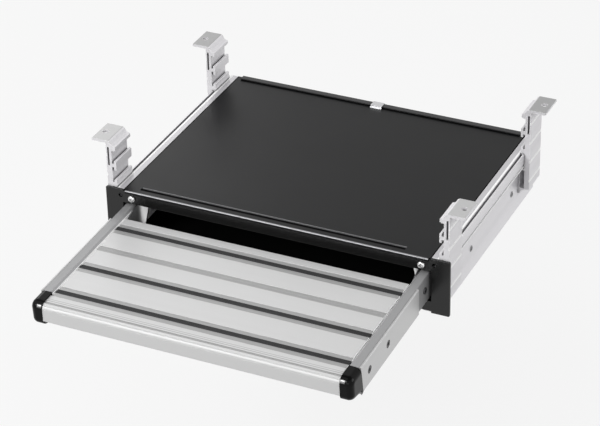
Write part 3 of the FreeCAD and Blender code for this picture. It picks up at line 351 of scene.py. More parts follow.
@dataclass(frozen=True)
class Finish:
    """One finish: the constants of the shader and how strongly the surface effects show."""

    name: str
    colour: tuple[float, float, float]
    metallic: float
    roughness: float
    specular: float = 0.5
    grain: float = 0.0
    along: Along = Along.NONE
    lines: float = 0.0
    streaks: float = 0.0
    ribs: float = 0.0
    edge: float = 0.35
    # The next four fields lay a painted highlight along outer edges and painted shade in inner corners.
    edge_highlight: float = 0.0
    edge_highlight_radius: float = 0.7
    corner_shade: float = 0.0
    corner_shade_reach: float = 5.0
    marks: tuple[Mark, ...] = ()

    def material(self, shop: "PaintShop") -> bpy.types.Material:
        """Builds the finish as a material.

        Args:
            shop: Holder of the shared node groups.

        Returns:
            The material.
        """
        made = bpy.data.materials.new(self.name)
        made.use_nodes = True
        made.diffuse_color = (*self.colour, 1.0)
        tree = made.node_tree
        tree.nodes.clear()
        sheet = NodeSheet(tree)
        end = sheet.add("ShaderNodeOutputMaterial")
        shader = sheet.add("ShaderNodeBsdfPrincipled")
        sheet.link(shader.outputs[0], end.inputs["Surface"])
        shader.inputs["Metallic"].default_value = self.metallic
        shader.inputs["Specular IOR Level"].default_value = self.specular
        grain = sheet.add("ShaderNodeGroup", node_tree=shop.grain)
        grain.inputs["Depth"].default_value = self.grain
        drawn = sheet.add("ShaderNodeGroup", node_tree=shop.drawn)
        drawn.inputs["Stretch"].default_value = self.along.value
        height = sheet.sum("ADD", grain.outputs["Height"],
                           sheet.sum("MULTIPLY", drawn.outputs["Lines"], self.lines))
        if self.ribs:
            ribs = sheet.add("ShaderNodeGroup", node_tree=shop.ribs)
            height = sheet.sum("ADD", height, sheet.sum("MULTIPLY", ribs.outputs["Height"], self.ribs))
        self.paint(sheet, shader, shop, (drawn.outputs["Streaks"], grain.outputs["Mask"]))
        soft = sheet.add("ShaderNodeBevel", samples=4)
        soft.inputs["Radius"].default_value = self.edge * MM
        bump = sheet.add("ShaderNodeBump")
        bump.inputs["Strength"].default_value = BUMP_STRENGTH
        bump.inputs["Distance"].default_value = BUMP_DISTANCE
        sheet.link(height, bump.inputs["Height"])
        sheet.link(soft.outputs[0], bump.inputs["Normal"])
        sheet.link(bump.outputs[0], shader.inputs["Normal"])
        return made

    def paint(self, sheet: NodeSheet, shader: bpy.types.Node, shop: "PaintShop",
              masks: tuple[bpy.types.NodeSocket, bpy.types.NodeSocket]) -> None:
        """Lays the colour and roughness, varied by the streaks, the broad mask and the marks.

        Args:
            sheet: The material's node sheet.
            shader: The surface shader.
            shop: Holder of the shared node groups.
            masks: Broad streaks and a broad cloudy mask, 0 to 1.
        """
        streaks, cloud = masks
        low = sheet.sum("MULTIPLY_ADD", streaks, self.streaks)
        low.node.inputs[2].default_value = 1.0 - self.streaks / 2
        mix = sheet.add("ShaderNodeMix", data_type="RGBA", blend_type="MULTIPLY")
        mix.inputs["Factor"].default_value = 1.0
        mix.inputs["A"].default_value = (*self.colour, 1.0)
        shade = sheet.add("ShaderNodeCombineColor")
        for index in range(3):
            sheet.link(low, shade.inputs[index])
        sheet.link(shade.outputs[0], mix.inputs["B"])
        colour = mix.outputs["Result"]
        rough = sheet.sum("MULTIPLY_ADD", cloud, ROUGHNESS_SPREAD)
        rough.node.inputs[2].default_value = self.roughness - ROUGHNESS_SPREAD / 2
        metal = None
        place = sheet.add("ShaderNodeGroup", node_tree=shop.place) if self.marks else None
        for mark in self.marks:
            spot = self.spot(sheet, shop, place, mark)
            over = sheet.add("ShaderNodeMix", data_type="RGBA")
            sheet.link(spot, over.inputs["Factor"])
            sheet.link(colour, over.inputs["A"])
            over.inputs["B"].default_value = (*mark.colour, 1.0)
            colour = over.outputs["Result"]
            rough = self.blended(sheet, spot, rough, mark.roughness)
            if mark.metallic != self.metallic:
                metal = self.blended(sheet, spot, self.metallic if metal is None else metal, mark.metallic)
        # Painted highlights on outer edges and painted shade in inner corners.
        if self.edge_highlight or self.corner_shade:
            colour = self.paint_highlights_and_shade(sheet, shop, colour)
        sheet.link(colour, shader.inputs["Base Color"])
        sheet.link(rough, shader.inputs["Roughness"])
        if metal is not None:
            sheet.link(metal, shader.inputs["Metallic"])

    def paint_highlights_and_shade(self, sheet: NodeSheet, shop: "PaintShop", colour: bpy.types.NodeSocket) -> bpy.types.NodeSocket:
        """Paints a highlight on the outer edges and shade in the inner corners.

        Args:
            sheet: The material's node sheet.
            shop: Holder of the shared node groups.
            colour: The colour so far.

        Returns:
            The colour with its painted highlights and shade.
        """
        edge_highlight = sheet.add("ShaderNodeGroup", node_tree=shop.edge_highlight)
        edge_highlight.inputs["Radius"].default_value = self.edge_highlight_radius * MM
        edge_highlight.inputs["Reach"].default_value = self.corner_shade_reach * MM
        for mask, share, target in (("Corner", self.corner_shade, CORNER_SHADE_DARK), ("Edge", self.edge_highlight, EDGE_HIGHLIGHT_WHITE)):
            over = sheet.add("ShaderNodeMix", data_type="RGBA")
            sheet.link(sheet.sum("MULTIPLY", edge_highlight.outputs[mask], share, clamp=True), over.inputs["Factor"])
            sheet.link(colour, over.inputs["A"])
            over.inputs["B"].default_value = (*target, 1.0)
            colour = over.outputs["Result"]
        return colour

    @staticmethod
    def spot(sheet: NodeSheet, shop: "PaintShop", place: bpy.types.Node, mark: Mark) -> bpy.types.NodeSocket:
        """Makes the mask of one mark.

        Args:
            sheet: The material's node sheet.
            shop: Holder of the shared node groups.
            place: The node that gives distances from the plate.
            mark: The mark.

        Returns:
            The mask, 0 to the mark's share.
        """
        mask = None
        for measure, low, high in mark.limits:
            span = sheet.add("ShaderNodeGroup", node_tree=shop.between)
            span.inputs["Low"].default_value = low
            span.inputs["High"].default_value = high
            span.inputs["Fade"].default_value = mark.fade
            sheet.link(place.outputs[measure.value], span.inputs["Value"])
            mask = span.outputs["Mask"] if mask is None else sheet.sum("MULTIPLY", mask, span.outputs["Mask"])
        return sheet.sum("MULTIPLY", mask, mark.share)

    @staticmethod
    def blended(sheet: NodeSheet, mask: bpy.types.NodeSocket, first: object,
                second: float) -> bpy.types.NodeSocket:
        """Blends a value towards a number where the mask is 1.

        Args:
            sheet: The material's node sheet.
            mask: The mask.
            first: Socket or number outside the mask.
            second: Number inside the mask.

        Returns:
            The blended value.
        """
        node = sheet.add("ShaderNodeMix", data_type="FLOAT")
        sheet.link(mask, node.inputs["Factor"])
        if isinstance(first, bpy.types.NodeSocket):
            sheet.link(first, node.inputs["A"])
        else:
            node.inputs["A"].default_value = first
        node.inputs["B"].default_value = second
        return node.outputs["Result"]


class PaintShop:
    """Shared node groups, and each finish built once."""

    def __init__(self) -> None:
        """Builds the groups."""
        self.grain = grain_group()
        self.drawn = drawn_group()
        self.ribs = groove_group()
        self.place = place_group()
        self.between = between_group()
        self.edge_highlight = highlight_shade_group()
        self.made: dict[str, bpy.types.Material] = {}

    def coat(self, item: bpy.types.Object, finish: Finish) -> None:
        """Gives an object one finish all over.

        Args:
            item: The object.
            finish: The finish.
        """
        if finish.name not in self.made:
            self.made[finish.name] = finish.material(self)
        item.data.materials.clear()
        item.data.materials.append(self.made[finish.name])


# Heights and lengths of the faces that carry marks, in millimetres from the plate.
COVER_TOP = (79.9, 82.0)
GROOVE_LENGTH = (-197.8, 180.8)
FLANGE_FACE = (148.7, 150.0)
REAR_HALF = (240.0, 345.0)
SCORE_FIRST = (37.9, 41.9)
SCORE_PITCH = 29.3
NOSE_LINE_WIDTH = 1.0

# Marks at real edges, grooves and bands; all but the tread's sunk band are painted highlights or painted shade
# there.
# A painted highlight along the cover's front bend, laid as a band of bare metal.
COVER_BEND_HIGHLIGHT = Mark(((Measure.BACK, -3.0, 0.2), (Measure.UP, *COVER_TOP)), (0.34, 0.34, 0.35), 0.8, 0.42)
# Painted shade on the near wall of the cover's pressed groove.
GROOVE_SHADE = Mark(((Measure.ACROSS, *GROOVE_LENGTH), (Measure.BACK, 7.6, 13.4)), (0.0, 0.0, 0.0), 1.0, 0.9,
                    share=0.95, fade=0.6)
# A painted highlight on the far edge of the cover's groove.
COVER_GROOVE_HIGHLIGHT = Mark(((Measure.ACROSS, *GROOVE_LENGTH), (Measure.BACK, 13.4, 15.3), (Measure.UP, *COVER_TOP)),
                   (0.20, 0.20, 0.205), 0.5, 0.40, fade=0.6)
# Painted shade in the gap along each side of the cover.
EDGE_GAP_SHADE = Mark(((Measure.OUT, 217.9, 221.0),), (0.0, 0.0, 0.0), 1.0, 0.95)
# A painted sheen on the top of the rear hem.
HEM_TOP_SHEEN = Mark(((Measure.UP, 82.6, 84.0), (Measure.BACK, 339.0, 350.0)), (0.045, 0.045, 0.046), 0.0, 0.4)
SUNK_BAND = Mark(((Measure.TREAD, -9.0, -0.28),), (0.42, 0.42, 0.42), 0.75, 0.5, fade=0.3)
# Painted shade on the top faces of the brackets' flanges.
FLANGE_TOP_SHADE = Mark(((Measure.UP, *FLANGE_FACE),), (0.54, 0.54, 0.54), 0.4, 0.5)
# Painted shade on the top faces of the rails, which are a little rougher too.
RAIL_TOP_SHADE = Mark(((Measure.OUT, 218.0, 231.0), (Measure.UP, 79.6, 82.0)), (0.60, 0.59, 0.61), 0.6, 0.45,
                fade=0.3)
# A painted highlight on the lip of the groove in each rail's top.
RAIL_GROOVE_HIGHLIGHT = Mark(((Measure.OUT, 226.6, 229.4), (Measure.UP, 80.2, 82.0)), (0.98, 0.98, 0.98), 0.1, 0.4)
# Painted shade in the groove in each rail's top.
RAIL_GROOVE_SHADE = Mark(((Measure.OUT, 229.6, 233.2), (Measure.UP, 78.0, 80.8)), (0.16, 0.155, 0.16), 0.6, 0.6,
                    share=0.6)
# A painted highlight along the lower lip of each rail's head.
LOWER_LIP_HIGHLIGHT = Mark(((Measure.OUT, 227.0, 236.0), (Measure.UP, 58.8, 62.8)), (0.98, 0.98, 0.98), 0.1, 0.4)
# Painted highlights on the scored lines of the brackets' outer faces.
SCORED_LINE_HIGHLIGHTS = tuple(
    Mark(((Measure.OUT, 241.9, 243.4), (Measure.UP, SCORE_FIRST[0] + SCORE_PITCH * step,
                                        SCORE_FIRST[1] + SCORE_PITCH * step)), (1.0, 1.0, 1.0), 0.0, 0.4)
    for step in range(4))
# Painted shade in the fine grooves along the nosing's top.
NOSE_GROOVE_SHADE = tuple(
    Mark(((Measure.BACK, low, low + NOSE_LINE_WIDTH),), (0.30, 0.30, 0.30), 0.4, 0.55, share=share)
    for low, share in ((-231.2, 0.6), (-234.6, 0.8), (-238.2, 0.9), (-240.6, 0.9)))

# Marks that only paint light or shade seen from the photograph's side: the rear flanges' darker
# tone, the shade on the cheeks, the pale sides of the gap beside the deck, the caps' reflection.
BACK_FLANGE = Mark(((Measure.UP, *FLANGE_FACE), (Measure.BACK, *REAR_HALF)), (0.40, 0.40, 0.40), 0.4, 0.5)
# Painted shade on the stop cheeks next to the arm.
CHEEK_SHADE = Mark(((Measure.OUT, 200.4, 204.0),), (0.16, 0.16, 0.165), 0.8, 0.55, fade=3.0)
GAP_SIDE = Mark(((Measure.OUT, 202.3, 203.5),), (0.95, 0.95, 0.95), 0.0, 0.5)
DECK_END = Mark(((Measure.OUT, 201.4, 202.4),), (0.95, 0.95, 0.95), 0.0, 0.5)
CAP_BROW = Mark(((Measure.OUT, 204.0, 210.0), (Measure.BACK, -250.0, -239.0), (Measure.UP, 47.3, 51.0)),
                (0.17, 0.17, 0.17), 1.0, 0.26, fade=1.2)

# Finishes, each built once and shared by the pieces that have it. Where a finish lightens outer edges or darkens
# inner corners, that is a painted highlight and painted shade.
COVER_PAINT = Finish("cover_black_paint", (0.006, 0.006, 0.0065), 0.0, 0.36, 0.15, grain=0.6, edge=0.5,
                     marks=(COVER_BEND_HIGHLIGHT, GROOVE_SHADE, COVER_GROOVE_HIGHLIGHT, EDGE_GAP_SHADE, HEM_TOP_SHEEN))
PLATE_PAINT = Finish("plate_black_paint", (0.004, 0.004, 0.004), 0.0, 0.26, 0.42, grain=0.3, edge=0.6)
INNER_PAINT = Finish("inner_black_paint", (0.004, 0.004, 0.004), 0.0, 0.6, 0.15, grain=0.5)
MILL_RAIL = Finish("mill_aluminium_rail", (0.73, 0.72, 0.74), 0.5, 0.40, along=Along.Y, lines=1.0, streaks=0.14,
                   edge_highlight=0.9, edge_highlight_radius=0.9, corner_shade=0.7, corner_shade_reach=4.0,
                   marks=(RAIL_TOP_SHADE, RAIL_GROOVE_HIGHLIGHT, RAIL_GROOVE_SHADE, LOWER_LIP_HIGHLIGHT))
MILL_BRACKET = Finish("mill_aluminium_bracket", (0.75, 0.74, 0.76), 0.2, 0.42, along=Along.Y, lines=1.0,
                      streaks=0.14, grain=0.4, edge_highlight=0.9, edge_highlight_radius=0.9, corner_shade=0.8, corner_shade_reach=4.0,
                      marks=(FLANGE_TOP_SHADE, BACK_FLANGE, *SCORED_LINE_HIGHLIGHTS))
TREAD_METAL = Finish("anodised_tread", (0.64, 0.64, 0.64), 0.40, 0.50, along=Along.X, lines=0.6, streaks=0.05,
                     ribs=1.0, marks=(SUNK_BAND, DECK_END))
NOSING_METAL = Finish("anodised_nosing", (0.62, 0.62, 0.62), 0.20, 0.50, along=Along.X, lines=0.5, streaks=0.04,
                      marks=NOSE_GROOVE_SHADE)
ARM_METAL = Finish("anodised_arm", (0.33, 0.33, 0.335), 0.35, 0.45, along=Along.Y, lines=0.8, streaks=0.10,
                   edge_highlight=0.3, marks=(GAP_SIDE,))
TRIM_METAL = Finish("anodised_trim", (0.56, 0.56, 0.56), 0.7, 0.42, along=Along.Y, lines=0.6, streaks=0.06,
                    edge_highlight=0.5, corner_shade=0.6, corner_shade_reach=3.0)
BRIGHT_STEEL = Finish("bright_steel", (0.80, 0.80, 0.80), 1.0, 0.40, along=Along.X, lines=0.3, streaks=0.05,
                      corner_shade=0.7, corner_shade_reach=10.0, marks=(CHEEK_SHADE,))
SCREW_STEEL = Finish("bright_screw_steel", (0.78, 0.78, 0.78), 1.0, 0.2, grain=0.1, edge=0.1, corner_shade=0.9,
                     corner_shade_reach=2.0)
ZINC_STEEL = Finish("zinc_plated_steel", (0.62, 0.62, 0.63), 1.0, 0.38, along=Along.Y, lines=0.4, streaks=0.1)
RIVET_STEEL = Finish("rivet_steel", (0.24, 0.24, 0.245), 1.0, 0.32, grain=0.2, edge=0.1, corner_shade=1.0,
                     corner_shade_reach=2.5)
GREY_STEEL = Finish("grey_steel_screw", (0.09, 0.09, 0.092), 1.0, 0.3, grain=0.2, edge=0.1, corner_shade=1.0,
                    corner_shade_reach=2.5)
CAP_BLACK = Finish("gloss_black_moulding", (0.003, 0.003, 0.003), 0.0, 0.12, 0.11, grain=0.05, edge=0.1,
                   marks=(CAP_BROW,))
NYLON_BLACK = Finish("black_nylon", (0.02, 0.02, 0.02), 0.0, 0.5, grain=0.8)
NYLON_PALE = Finish("natural_nylon", (0.72, 0.71, 0.68), 0.0, 0.45, grain=0.6)
RUBBER = Finish("black_rubber", (0.020, 0.020, 0.021), 0.0, 0.55, 0.35, grain=1.0, edge=0.1)

# The finish of each single node, and of each pair by its name without the hand.
NODE_FINISH: dict[str, Finish] = {
    "front_plate": PLATE_PAINT, "top_cover": COVER_PAINT, "hem_clip": ZINC_STEEL, "floor_pan": INNER_PAINT,
    "rear_cross_member": PLATE_PAINT, "tie_bar": INNER_PAINT, "nosing": NOSING_METAL,
    "deck_plank_rear": TREAD_METAL, "deck_plank_front": TREAD_METAL, "grip_strip_rear": RUBBER,
    "grip_strip_middle": RUBBER, "grip_strip_front": RUBBER, "arm_screws": GREY_STEEL, "tie_screws": GREY_STEEL,
    "stop_screws": SCREW_STEEL, "channel_rivets": RIVET_STEEL,
}
PAIR_FINISH: dict[str, Finish] = {
    "side_rail": MILL_RAIL, "bracket_front": MILL_BRACKET, "bracket_rear": MILL_BRACKET,
    "guide_channel": INNER_PAINT, "arm": ARM_METAL, "arm_trim": TRIM_METAL, "end_cap": CAP_BLACK,
    "stop_cheek": BRIGHT_STEEL, "stop_block": NYLON_BLACK, "roller_carrier": ZINC_STEEL,
    "roller_axle": BRIGHT_STEEL, "roller": NYLON_PALE, "rear_buffer": RUBBER,
}


def settle(items: list[bpy.types.Object], body: str, finish: Finish, shop: PaintShop,
           nodes: list[str]) -> None:
    """Coats new pieces and joins them to the part.

    Args:
        items: The pieces, in place.
        body: The body they move with.
        finish: Their finish.
        shop: The paint shop.
        nodes: The nodes they stand for.
    """
    for item in items:
        shop.coat(item, finish)
        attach(item, body)
        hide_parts(*nodes)
        LOG.info("%s: %s, %d faces", item.name, finish.name, len(item.data.polygons))


class Bench:
    """Work in edit mode on one mesh, with its faces and points selected in code."""

    @staticmethod
    def take(item: bpy.types.Object) -> None:
        """Selects one object alone and opens its mesh."""
        bpy.ops.object.select_all(action="DESELECT")
        item.select_set(True)
        bpy.context.view_layer.objects.active = item
        bpy.ops.object.mode_set(mode="EDIT")

    @staticmethod
    def faces(item: bpy.types.Object, test: Callable[[bmesh.types.BMFace], bool]) -> None:
        """Selects the faces that pass a test, and nothing else.

        Args:
            item: The object in edit mode.
            test: Says whether a face is selected.
        """
        bpy.ops.mesh.select_mode(type="FACE")
        bpy.ops.mesh.select_all(action="DESELECT")
        mesh = bmesh.from_edit_mesh(item.data)
        for face in mesh.faces:
            if test(face):
                face.select_set(True)
        bmesh.update_edit_mesh(item.data)

    @staticmethod
    def points(item: bpy.types.Object, test: Callable[[Vector], bool]) -> None:
        """Selects the points that pass a test, and nothing else.

        Args:
            item: The object in edit mode.
            test: Says whether a point is selected.
        """
        bpy.ops.mesh.select_mode(type="VERT")
        bpy.ops.mesh.select_all(action="DESELECT")
        mesh = bmesh.from_edit_mesh(item.data)
        for point in mesh.verts:
            if test(point.co):
                point.select_set(True)
        bmesh.update_edit_mesh(item.data)

    @staticmethod
    def pull(rise: float, factor: float = 1.0) -> None:
        """Extrudes the selected face along Z and scales it about the Z axis.

        Args:
            rise: How far it moves, in millimetres.
            factor: Scale across.
        """
        bpy.ops.mesh.extrude_region_move(TRANSFORM_OT_translate={"value": (0, 0, rise)})
        if factor != 1.0:
            bpy.ops.transform.resize(value=(factor, factor, 1.0), center_override=(0, 0, 0))

    @staticmethod
    def finish(item: bpy.types.Object, width: float, segments: int) -> None:
        """Closes edit mode, rounds the sharp edges and shades the round ones smooth.

        Args:
            item: The object.
            width: Width of the rounding, in millimetres.
            segments: Steps in the rounding.
        """
        bpy.ops.object.mode_set(mode="OBJECT")
        rounding = item.modifiers.new("edge_rounding", "BEVEL")
        rounding.width = width
        rounding.segments = segments
        rounding.limit_method = "ANGLE"
        rounding.angle_limit = EDGE_ANGLE
        bpy.ops.object.modifier_apply(modifier=rounding.name)
        bpy.ops.object.shade_smooth_by_angle(angle=EDGE_ANGLE)

    @staticmethod
    def copies(item: bpy.types.Object, places: dict[str, Matrix]) -> list[bpy.types.Object]:
        """Copies a finished model to its places, each copy with its own mesh, and removes the model.

        Args:
            item: The model, in millimetres.
            places: Name and placement of each copy.

        Returns:
            The copies.
        """
        made = []
        for name, place in places.items():
            mesh = item.data.copy()
            mesh.name = name
            mesh.transform(place)
            copy = bpy.data.objects.new(name, mesh)
            bpy.context.scene.collection.objects.link(copy)
            made.append(copy)
        bpy.data.objects.remove(item)
        return made


class Recess(Enum):
    """Shape of the hollow in a fastener's head: number of lobes and how deep they go."""

    ROUND = (0, 0.0)
    SIX_LOBES = (6, 0.13)


@dataclass
class Fastener:
    """A domed head with a recess and a shaft, along Z with the head's top at zero, in millimetres."""

    radius: float
    height: float
    dome: float
    recess: Recess
    recess_radius: float
    recess_depth: float
    length: float
    shaft_radius: float = 2.5
    around: int = 48
    rings: int = 6
    rounding: float = 0.12

    def build(self) -> bpy.types.Object:
        """Models the fastener.

        Returns:
            The model, in millimetres round the origin.
        """
        side = self.height - self.dome
        bpy.ops.object.select_all(action="DESELECT")
        bpy.ops.mesh.primitive_cylinder_add(vertices=self.around, radius=self.radius, depth=side,
                                            location=(0, 0, side / 2 - self.height))
        item = bpy.context.active_object
        bpy.ops.object.transform_apply(location=True, rotation=True, scale=True)
        Bench.take(item)
        self.raise_dome(item)
        self.sink_recess(item)
        Bench.faces(item, lambda face: face.normal.z < -0.9)
        Bench.pull(0.0, self.shaft_radius / self.radius)
        Bench.pull(self.height - self.length)
        Bench.finish(item, self.rounding, 2)
        return item

    def raise_dome(self, item: bpy.types.Object) -> None:
        """Raises the crown ring by ring from the head's side to the rim of the recess.

        Args:
            item: The head in edit mode.
        """
        Bench.faces(item, lambda face: face.normal.z > 0.9)
        rim = self.recess_radius * 1.25
        radius, height = self.radius, -self.dome
        for ring in range(1, self.rings + 1):
            turn = math.pi / 2 * ring / self.rings
            wide = rim + (self.radius - rim) * math.cos(turn)
            high = self.dome * (math.sin(turn) - 1.0)
            Bench.pull(high - height, wide / radius)
            radius, height = wide, high
        Bench.pull(0.0, self.recess_radius / radius)

    def sink_recess(self, item: bpy.types.Object) -> None:
        """Shapes the recess's outline and sinks it.

        Args:
            item: The head in edit mode.
        """
        lobes, share = self.recess.value
        if lobes:
            period = self.around // lobes
            for phase in range(period):
                factor = 1.0 + share * math.cos(2 * math.pi * phase / period)
                Bench.points(item, lambda spot, phase=phase, period=period: abs(spot.z) < 1e-3
                             and abs(spot.to_2d().length - self.recess_radius) < 1e-3
                             and self.step_of(spot) % period == phase)
                if abs(factor - 1.0) > 1e-6:
                    bpy.ops.transform.resize(value=(factor, factor, 1.0), center_override=(0, 0, 0))
        Bench.faces(item, lambda face: face.normal.z > 0.9
                    and face.calc_center_median().to_2d().length < 0.01)
        Bench.pull(-self.recess_depth)

    def step_of(self, spot: Vector) -> int:
        """Gives the number of a point round the head, counted from the X axis."""
        return round(math.atan2(spot.y, spot.x) / (2 * math.pi) * self.around)


@dataclass
class Fasteners:
    """The fasteners that show: pan head screws, side screws and blind rivets."""

    stop_across: float = 206.6
    stop_face: float = -3.9
    stop_up: float = 70.1
    side_up: float = 41.0
    side_screws: tuple[tuple[str, float, float], ...] = (("front", 219.3, -194.0), ("middle", 219.3, -137.0),
                                                         ("back", 218.2, -13.5))
    side_lengths: tuple[float, float, float] = (25.4, 25.4, 18.1)
    rivet_across: float = 228.4
    rivet_up: float = 29.6
    rivets: tuple[tuple[str, float], ...] = (("front", 120.0), ("back", 270.0))

    @staticmethod
    def facing(side: int) -> Matrix:
        """Turns a fastener's head outwards, to the right for 1 and to the left for -1."""
        return Matrix.Rotation(side * math.pi / 2, 4, "Y")

    def build(self, shop: PaintShop) -> None:
        """Models and places all the fasteners that show.

        Args:
            shop: The paint shop.
        """
        self.stop_screws(shop)
        self.arm_screws(shop)
        self.channel_rivets(shop)

    def stop_screws(self, shop: PaintShop) -> None:
        """Sets a bright pan head screw in each upper corner of the opening."""
        turn = Matrix.Rotation(math.pi / 2, 4, "X")
        model = Fastener(5.1, 3.85, 2.7, Recess.SIX_LOBES, 1.9, 1.7, 13.1).build()
        places = {f"stop_screw_{hand}": housing_matrix() @ Matrix.Translation(
            (side * self.stop_across, self.stop_face, self.stop_up)) @ turn for side, hand in SIDES}
        settle(Bench.copies(model, places), "housing", SCREW_STEEL, shop, ["stop_screws"])

    def arm_screws(self, shop: PaintShop) -> None:
        """Sets three screws in the outer face of each arm."""
        for (name, across, back), length in zip(self.side_screws, self.side_lengths):
            model = Fastener(4.7, 1.5, 0.9, Recess.SIX_LOBES, 2.1, 1.1, length).build()
            places = {f"arm_screw_{name}_{hand}": step_matrix() @ Matrix.Translation(
                (side * across, back, self.side_up)) @ self.facing(side) for side, hand in SIDES}
            settle(Bench.copies(model, places), "step", GREY_STEEL, shop, ["arm_screws"])

    def channel_rivets(self, shop: PaintShop) -> None:
        """Sets two hollow rivets in the web of each rail."""
        model = Fastener(4.2, 0.85, 0.6, Recess.ROUND, 2.2, 0.75, 6.1).build()
        places = {f"channel_rivet_{name}_{hand}": housing_matrix() @ Matrix.Translation(
            (side * self.rivet_across, back, self.rivet_up)) @ self.facing(side)
            for side, hand in SIDES for name, back in self.rivets}
        settle(Bench.copies(model, places), "housing", RIVET_STEEL, shop, ["channel_rivets"])


@dataclass
class GripStrips:
    """The three ribbed rubber strips pressed into the tread, in millimetres from the plate."""

    half_length: float = 201.7
    low: float = 54.55
    high: float = 57.2
    low_half: float = 4.1
    high_half: float = 3.65
    ribs: int = 5
    groove_half: float = 0.30
    groove_floor: float = 0.14
    groove_deep: float = 0.55
    rounding: float = 0.10
    middles: tuple[tuple[str, float], ...] = (("rear", -53.127), ("middle", -149.8), ("front", -210.9))

    def build(self, shop: PaintShop) -> None:
        """Models one strip and presses a copy into each groove.

        Args:
            shop: The paint shop.
        """
        model = self.strip()
        places = {f"ribbed_strip_{name}": step_matrix() @ Matrix.Translation((0, middle, 0))
                  for name, middle in self.middles}
        for piece in Bench.copies(model, places):
            node = piece.name.replace("ribbed_strip", "grip_strip")
            settle([piece], "step", RUBBER, shop, [node])

    def strip(self) -> bpy.types.Object:
        """Models a tapered strip whose top is cut into ribs.

        Returns:
            The model, in millimetres, with its middle on the X axis.
        """
        bpy.ops.object.select_all(action="DESELECT")
        bpy.ops.mesh.primitive_cube_add(size=1.0, location=(0, 0, (self.low + self.high) / 2))
        item = bpy.context.active_object
        item.scale = (2 * self.half_length, 2 * self.low_half, self.high - self.low)
        bpy.ops.object.transform_apply(location=True, rotation=True, scale=True)
        Bench.take(item)
        Bench.faces(item, lambda face: face.normal.z > 0.9)
        bpy.ops.transform.resize(value=(1.0, self.high_half / self.low_half, 1.0),
                                 center_override=(0, 0, self.high))
        pitch = 2 * self.high_half / self.ribs
        grooves = [pitch * (index + 1) - self.high_half for index in range(self.ribs - 1)]
        for middle in grooves:
            for shift in (-self.groove_half, -self.groove_floor, self.groove_floor, self.groove_half):
                bpy.ops.mesh.select_all(action="SELECT")
                bpy.ops.mesh.bisect(plane_co=(0, middle + shift, 0), plane_no=(0, 1, 0))
        Bench.points(item, lambda spot: spot.z > self.high - 0.01
                     and min(abs(spot.y - middle) for middle in grooves) < self.groove_floor + 0.01)
        bpy.ops.transform.translate(value=(0, 0, -self.groove_deep))
        Bench.finish(item, self.rounding, 1)
        return item


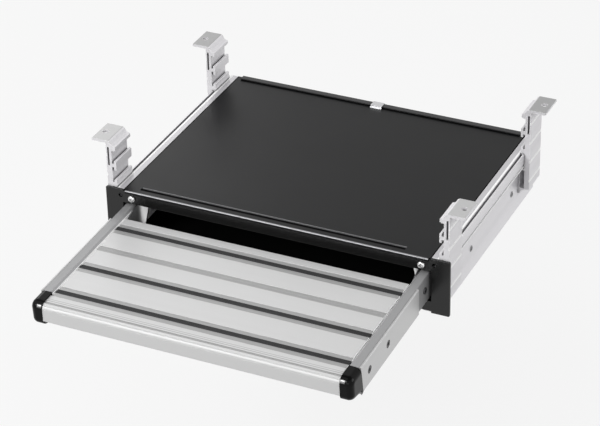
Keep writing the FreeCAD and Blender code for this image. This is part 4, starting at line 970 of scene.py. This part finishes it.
@dataclass
class Studio:
    """Floor, backdrop, lamps and camera."""

    eye: tuple[float, float, float] = (1.16296, -2.52667, 1.53354)
    azimuth: float = 25.5
    elevation: float = 31.13
    roll: float = -1.31
    lens: float = 143.35
    sensor: float = 36.0
    aim: tuple[float, float, float] = (0.0, -0.1, -0.1)
    floor_drop: float = 0.30
    floor_size: float = 60.0
    floor_shade: float = 0.13
    floor_glow: float = 0.885
    backdrop: float = 0.913
    fill: float = 0.62
    ceiling: tuple[tuple[str, float], ...] = (("From Min", 0.62), ("From Max", 0.92), ("To Min", 1.0),
                                              ("To Max", 0.2))
    lamps: list[tuple[str, tuple[float, float, float], tuple[float, float], float]] = field(
        default_factory=lambda: [
            ("key_softbox", (-1.6, -1.2, 2.6), (2.2, 2.2), 16.0),
            ("right_softbox", (2.8, 0.6, 1.1), (2.0, 1.6), 33.0),
            ("front_softbox", (0.4, -3.2, 0.5), (2.2, 1.0), 13.0),
            ("glint_softbox", (-0.95, -2.25, 1.2), (0.8, 1.0), 30.0),
            ("back_softbox", (-1.9, 1.9, 1.15), (1.2, 1.0), 8.0),
        ])

    def camera(self) -> None:
        """Sets up the camera at the photograph's viewing angle."""
        data = bpy.data.cameras.new("camera")
        data.lens = self.lens
        data.sensor_width = self.sensor
        data.clip_start = 0.05
        data.clip_end = 60.0
        item = bpy.data.objects.new("camera", data)
        bpy.context.scene.collection.objects.link(item)
        turn, lift, roll = map(math.radians, (self.azimuth, self.elevation, self.roll))
        back = Vector((math.sin(turn) * math.cos(lift), -math.cos(turn) * math.cos(lift), math.sin(lift)))
        right = Vector((math.cos(turn), math.sin(turn), 0.0))
        up = back.cross(right)
        across = right * math.cos(roll) + up * math.sin(roll)
        above = up * math.cos(roll) - right * math.sin(roll)
        matrix = Matrix((across, above, back)).transposed().to_4x4()
        matrix.translation = Vector(self.eye)
        item.matrix_world = matrix
        bpy.context.scene.camera = item

    def light(self) -> None:
        """Hangs the softboxes, each turned to the middle of the step."""
        for name, spot, size, power in self.lamps:
            data = bpy.data.lights.new(name, "AREA")
            data.shape = "RECTANGLE"
            data.size, data.size_y = size
            data.energy = power
            item = bpy.data.objects.new(name, data)
            bpy.context.scene.collection.objects.link(item)
            item.location = spot
            item.rotation_mode = "QUATERNION"
            item.rotation_quaternion = (Vector(spot) - Vector(self.aim)).to_track_quat("Z", "Y")

    def floor(self) -> None:
        """Lays the pale floor."""
        bpy.ops.mesh.primitive_plane_add(size=self.floor_size,
                                         location=(0, 0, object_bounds()[0].z - self.floor_drop))
        plane = bpy.context.active_object
        plane.name = "floor"
        paper = bpy.data.materials.new("pale_floor")
        paper.use_nodes = True
        sheet = NodeSheet(paper.node_tree)
        paper.node_tree.nodes.clear()
        end = sheet.add("ShaderNodeOutputMaterial")
        matt = sheet.add("ShaderNodeBsdfDiffuse")
        matt.inputs["Color"].default_value = (self.floor_shade, self.floor_shade, self.floor_shade, 1.0)
        glow = sheet.add("ShaderNodeEmission")
        glow.inputs["Color"].default_value = (self.backdrop, self.backdrop, self.backdrop, 1.0)
        rays = sheet.add("ShaderNodeLightPath")
        seen = sheet.sum("ADD", rays.outputs["Is Camera Ray"], rays.outputs["Is Glossy Ray"], clamp=True)
        seen = sheet.sum("ADD", seen, rays.outputs["Is Transmission Ray"], clamp=True)
        sheet.link(sheet.sum("MULTIPLY", seen, self.floor_glow), glow.inputs["Strength"])
        both = sheet.add("ShaderNodeAddShader")
        sheet.link(matt.outputs[0], both.inputs[0])
        sheet.link(glow.outputs[0], both.inputs[1])
        sheet.link(both.outputs[0], end.inputs["Surface"])
        plane.data.materials.append(paper)
        plane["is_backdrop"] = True

    def surroundings(self) -> None:
        """Sets the pale surroundings: white to the camera, dimmer overhead in reflections."""
        world = bpy.data.worlds.new("surroundings")
        bpy.context.scene.world = world
        world.use_nodes = True
        air = NodeSheet(world.node_tree)
        world.node_tree.nodes.clear()
        out = air.add("ShaderNodeOutputWorld")
        back = air.add("ShaderNodeBackground")
        back.inputs["Color"].default_value = (self.backdrop, self.backdrop, self.backdrop, 1.0)
        path = air.add("ShaderNodeLightPath")
        way = air.add("ShaderNodeTexCoord")
        split = air.add("ShaderNodeSeparateXYZ")
        air.link(way.outputs["Generated"], split.inputs[0])
        ceiling = air.add("ShaderNodeMapRange", interpolation_type="SMOOTHSTEP")
        air.link(split.outputs["Z"], ceiling.inputs["Value"])
        for name, value in self.ceiling:
            ceiling.inputs[name].default_value = value
        mirrored = air.sum("ADD", path.outputs["Is Glossy Ray"], path.outputs["Is Transmission Ray"],
                           clamp=True)
        soft = air.sum("MULTIPLY", air.sum("SUBTRACT", 1.0, mirrored), self.fill)
        level = air.sum("ADD", soft, air.sum("MULTIPLY", mirrored, ceiling.outputs["Result"]))
        air.link(air.sum("MAXIMUM", level, path.outputs["Is Camera Ray"]), back.inputs["Strength"])
        air.link(back.outputs[0], out.inputs["Surface"])


def dress_nodes(shop: PaintShop, nodes: dict[str, bpy.types.Object]) -> None:
    """Gives each node of the part its finish.

    Args:
        shop: The paint shop.
        nodes: The part's nodes by name.
    """
    for name, item in nodes.items():
        finish = NODE_FINISH.get(name) or PAIR_FINISH[name.rsplit("_", 1)[0]]
        shop.coat(item, finish)
        LOG.info("%s: %s", name, finish.name)


def main() -> None:
    """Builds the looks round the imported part."""
    logging.basicConfig(level=logging.INFO, format="%(message)s")
    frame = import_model()
    shop = PaintShop()
    dress_nodes(shop, frame["nodes"])
    GripStrips().build(shop)
    Fasteners().build(shop)
    studio = Studio()
    studio.floor()
    studio.surroundings()
    studio.light()
    studio.camera()
    bpy.context.scene.view_settings.view_transform = "Standard"


if __name__ == "__main__":
    main()
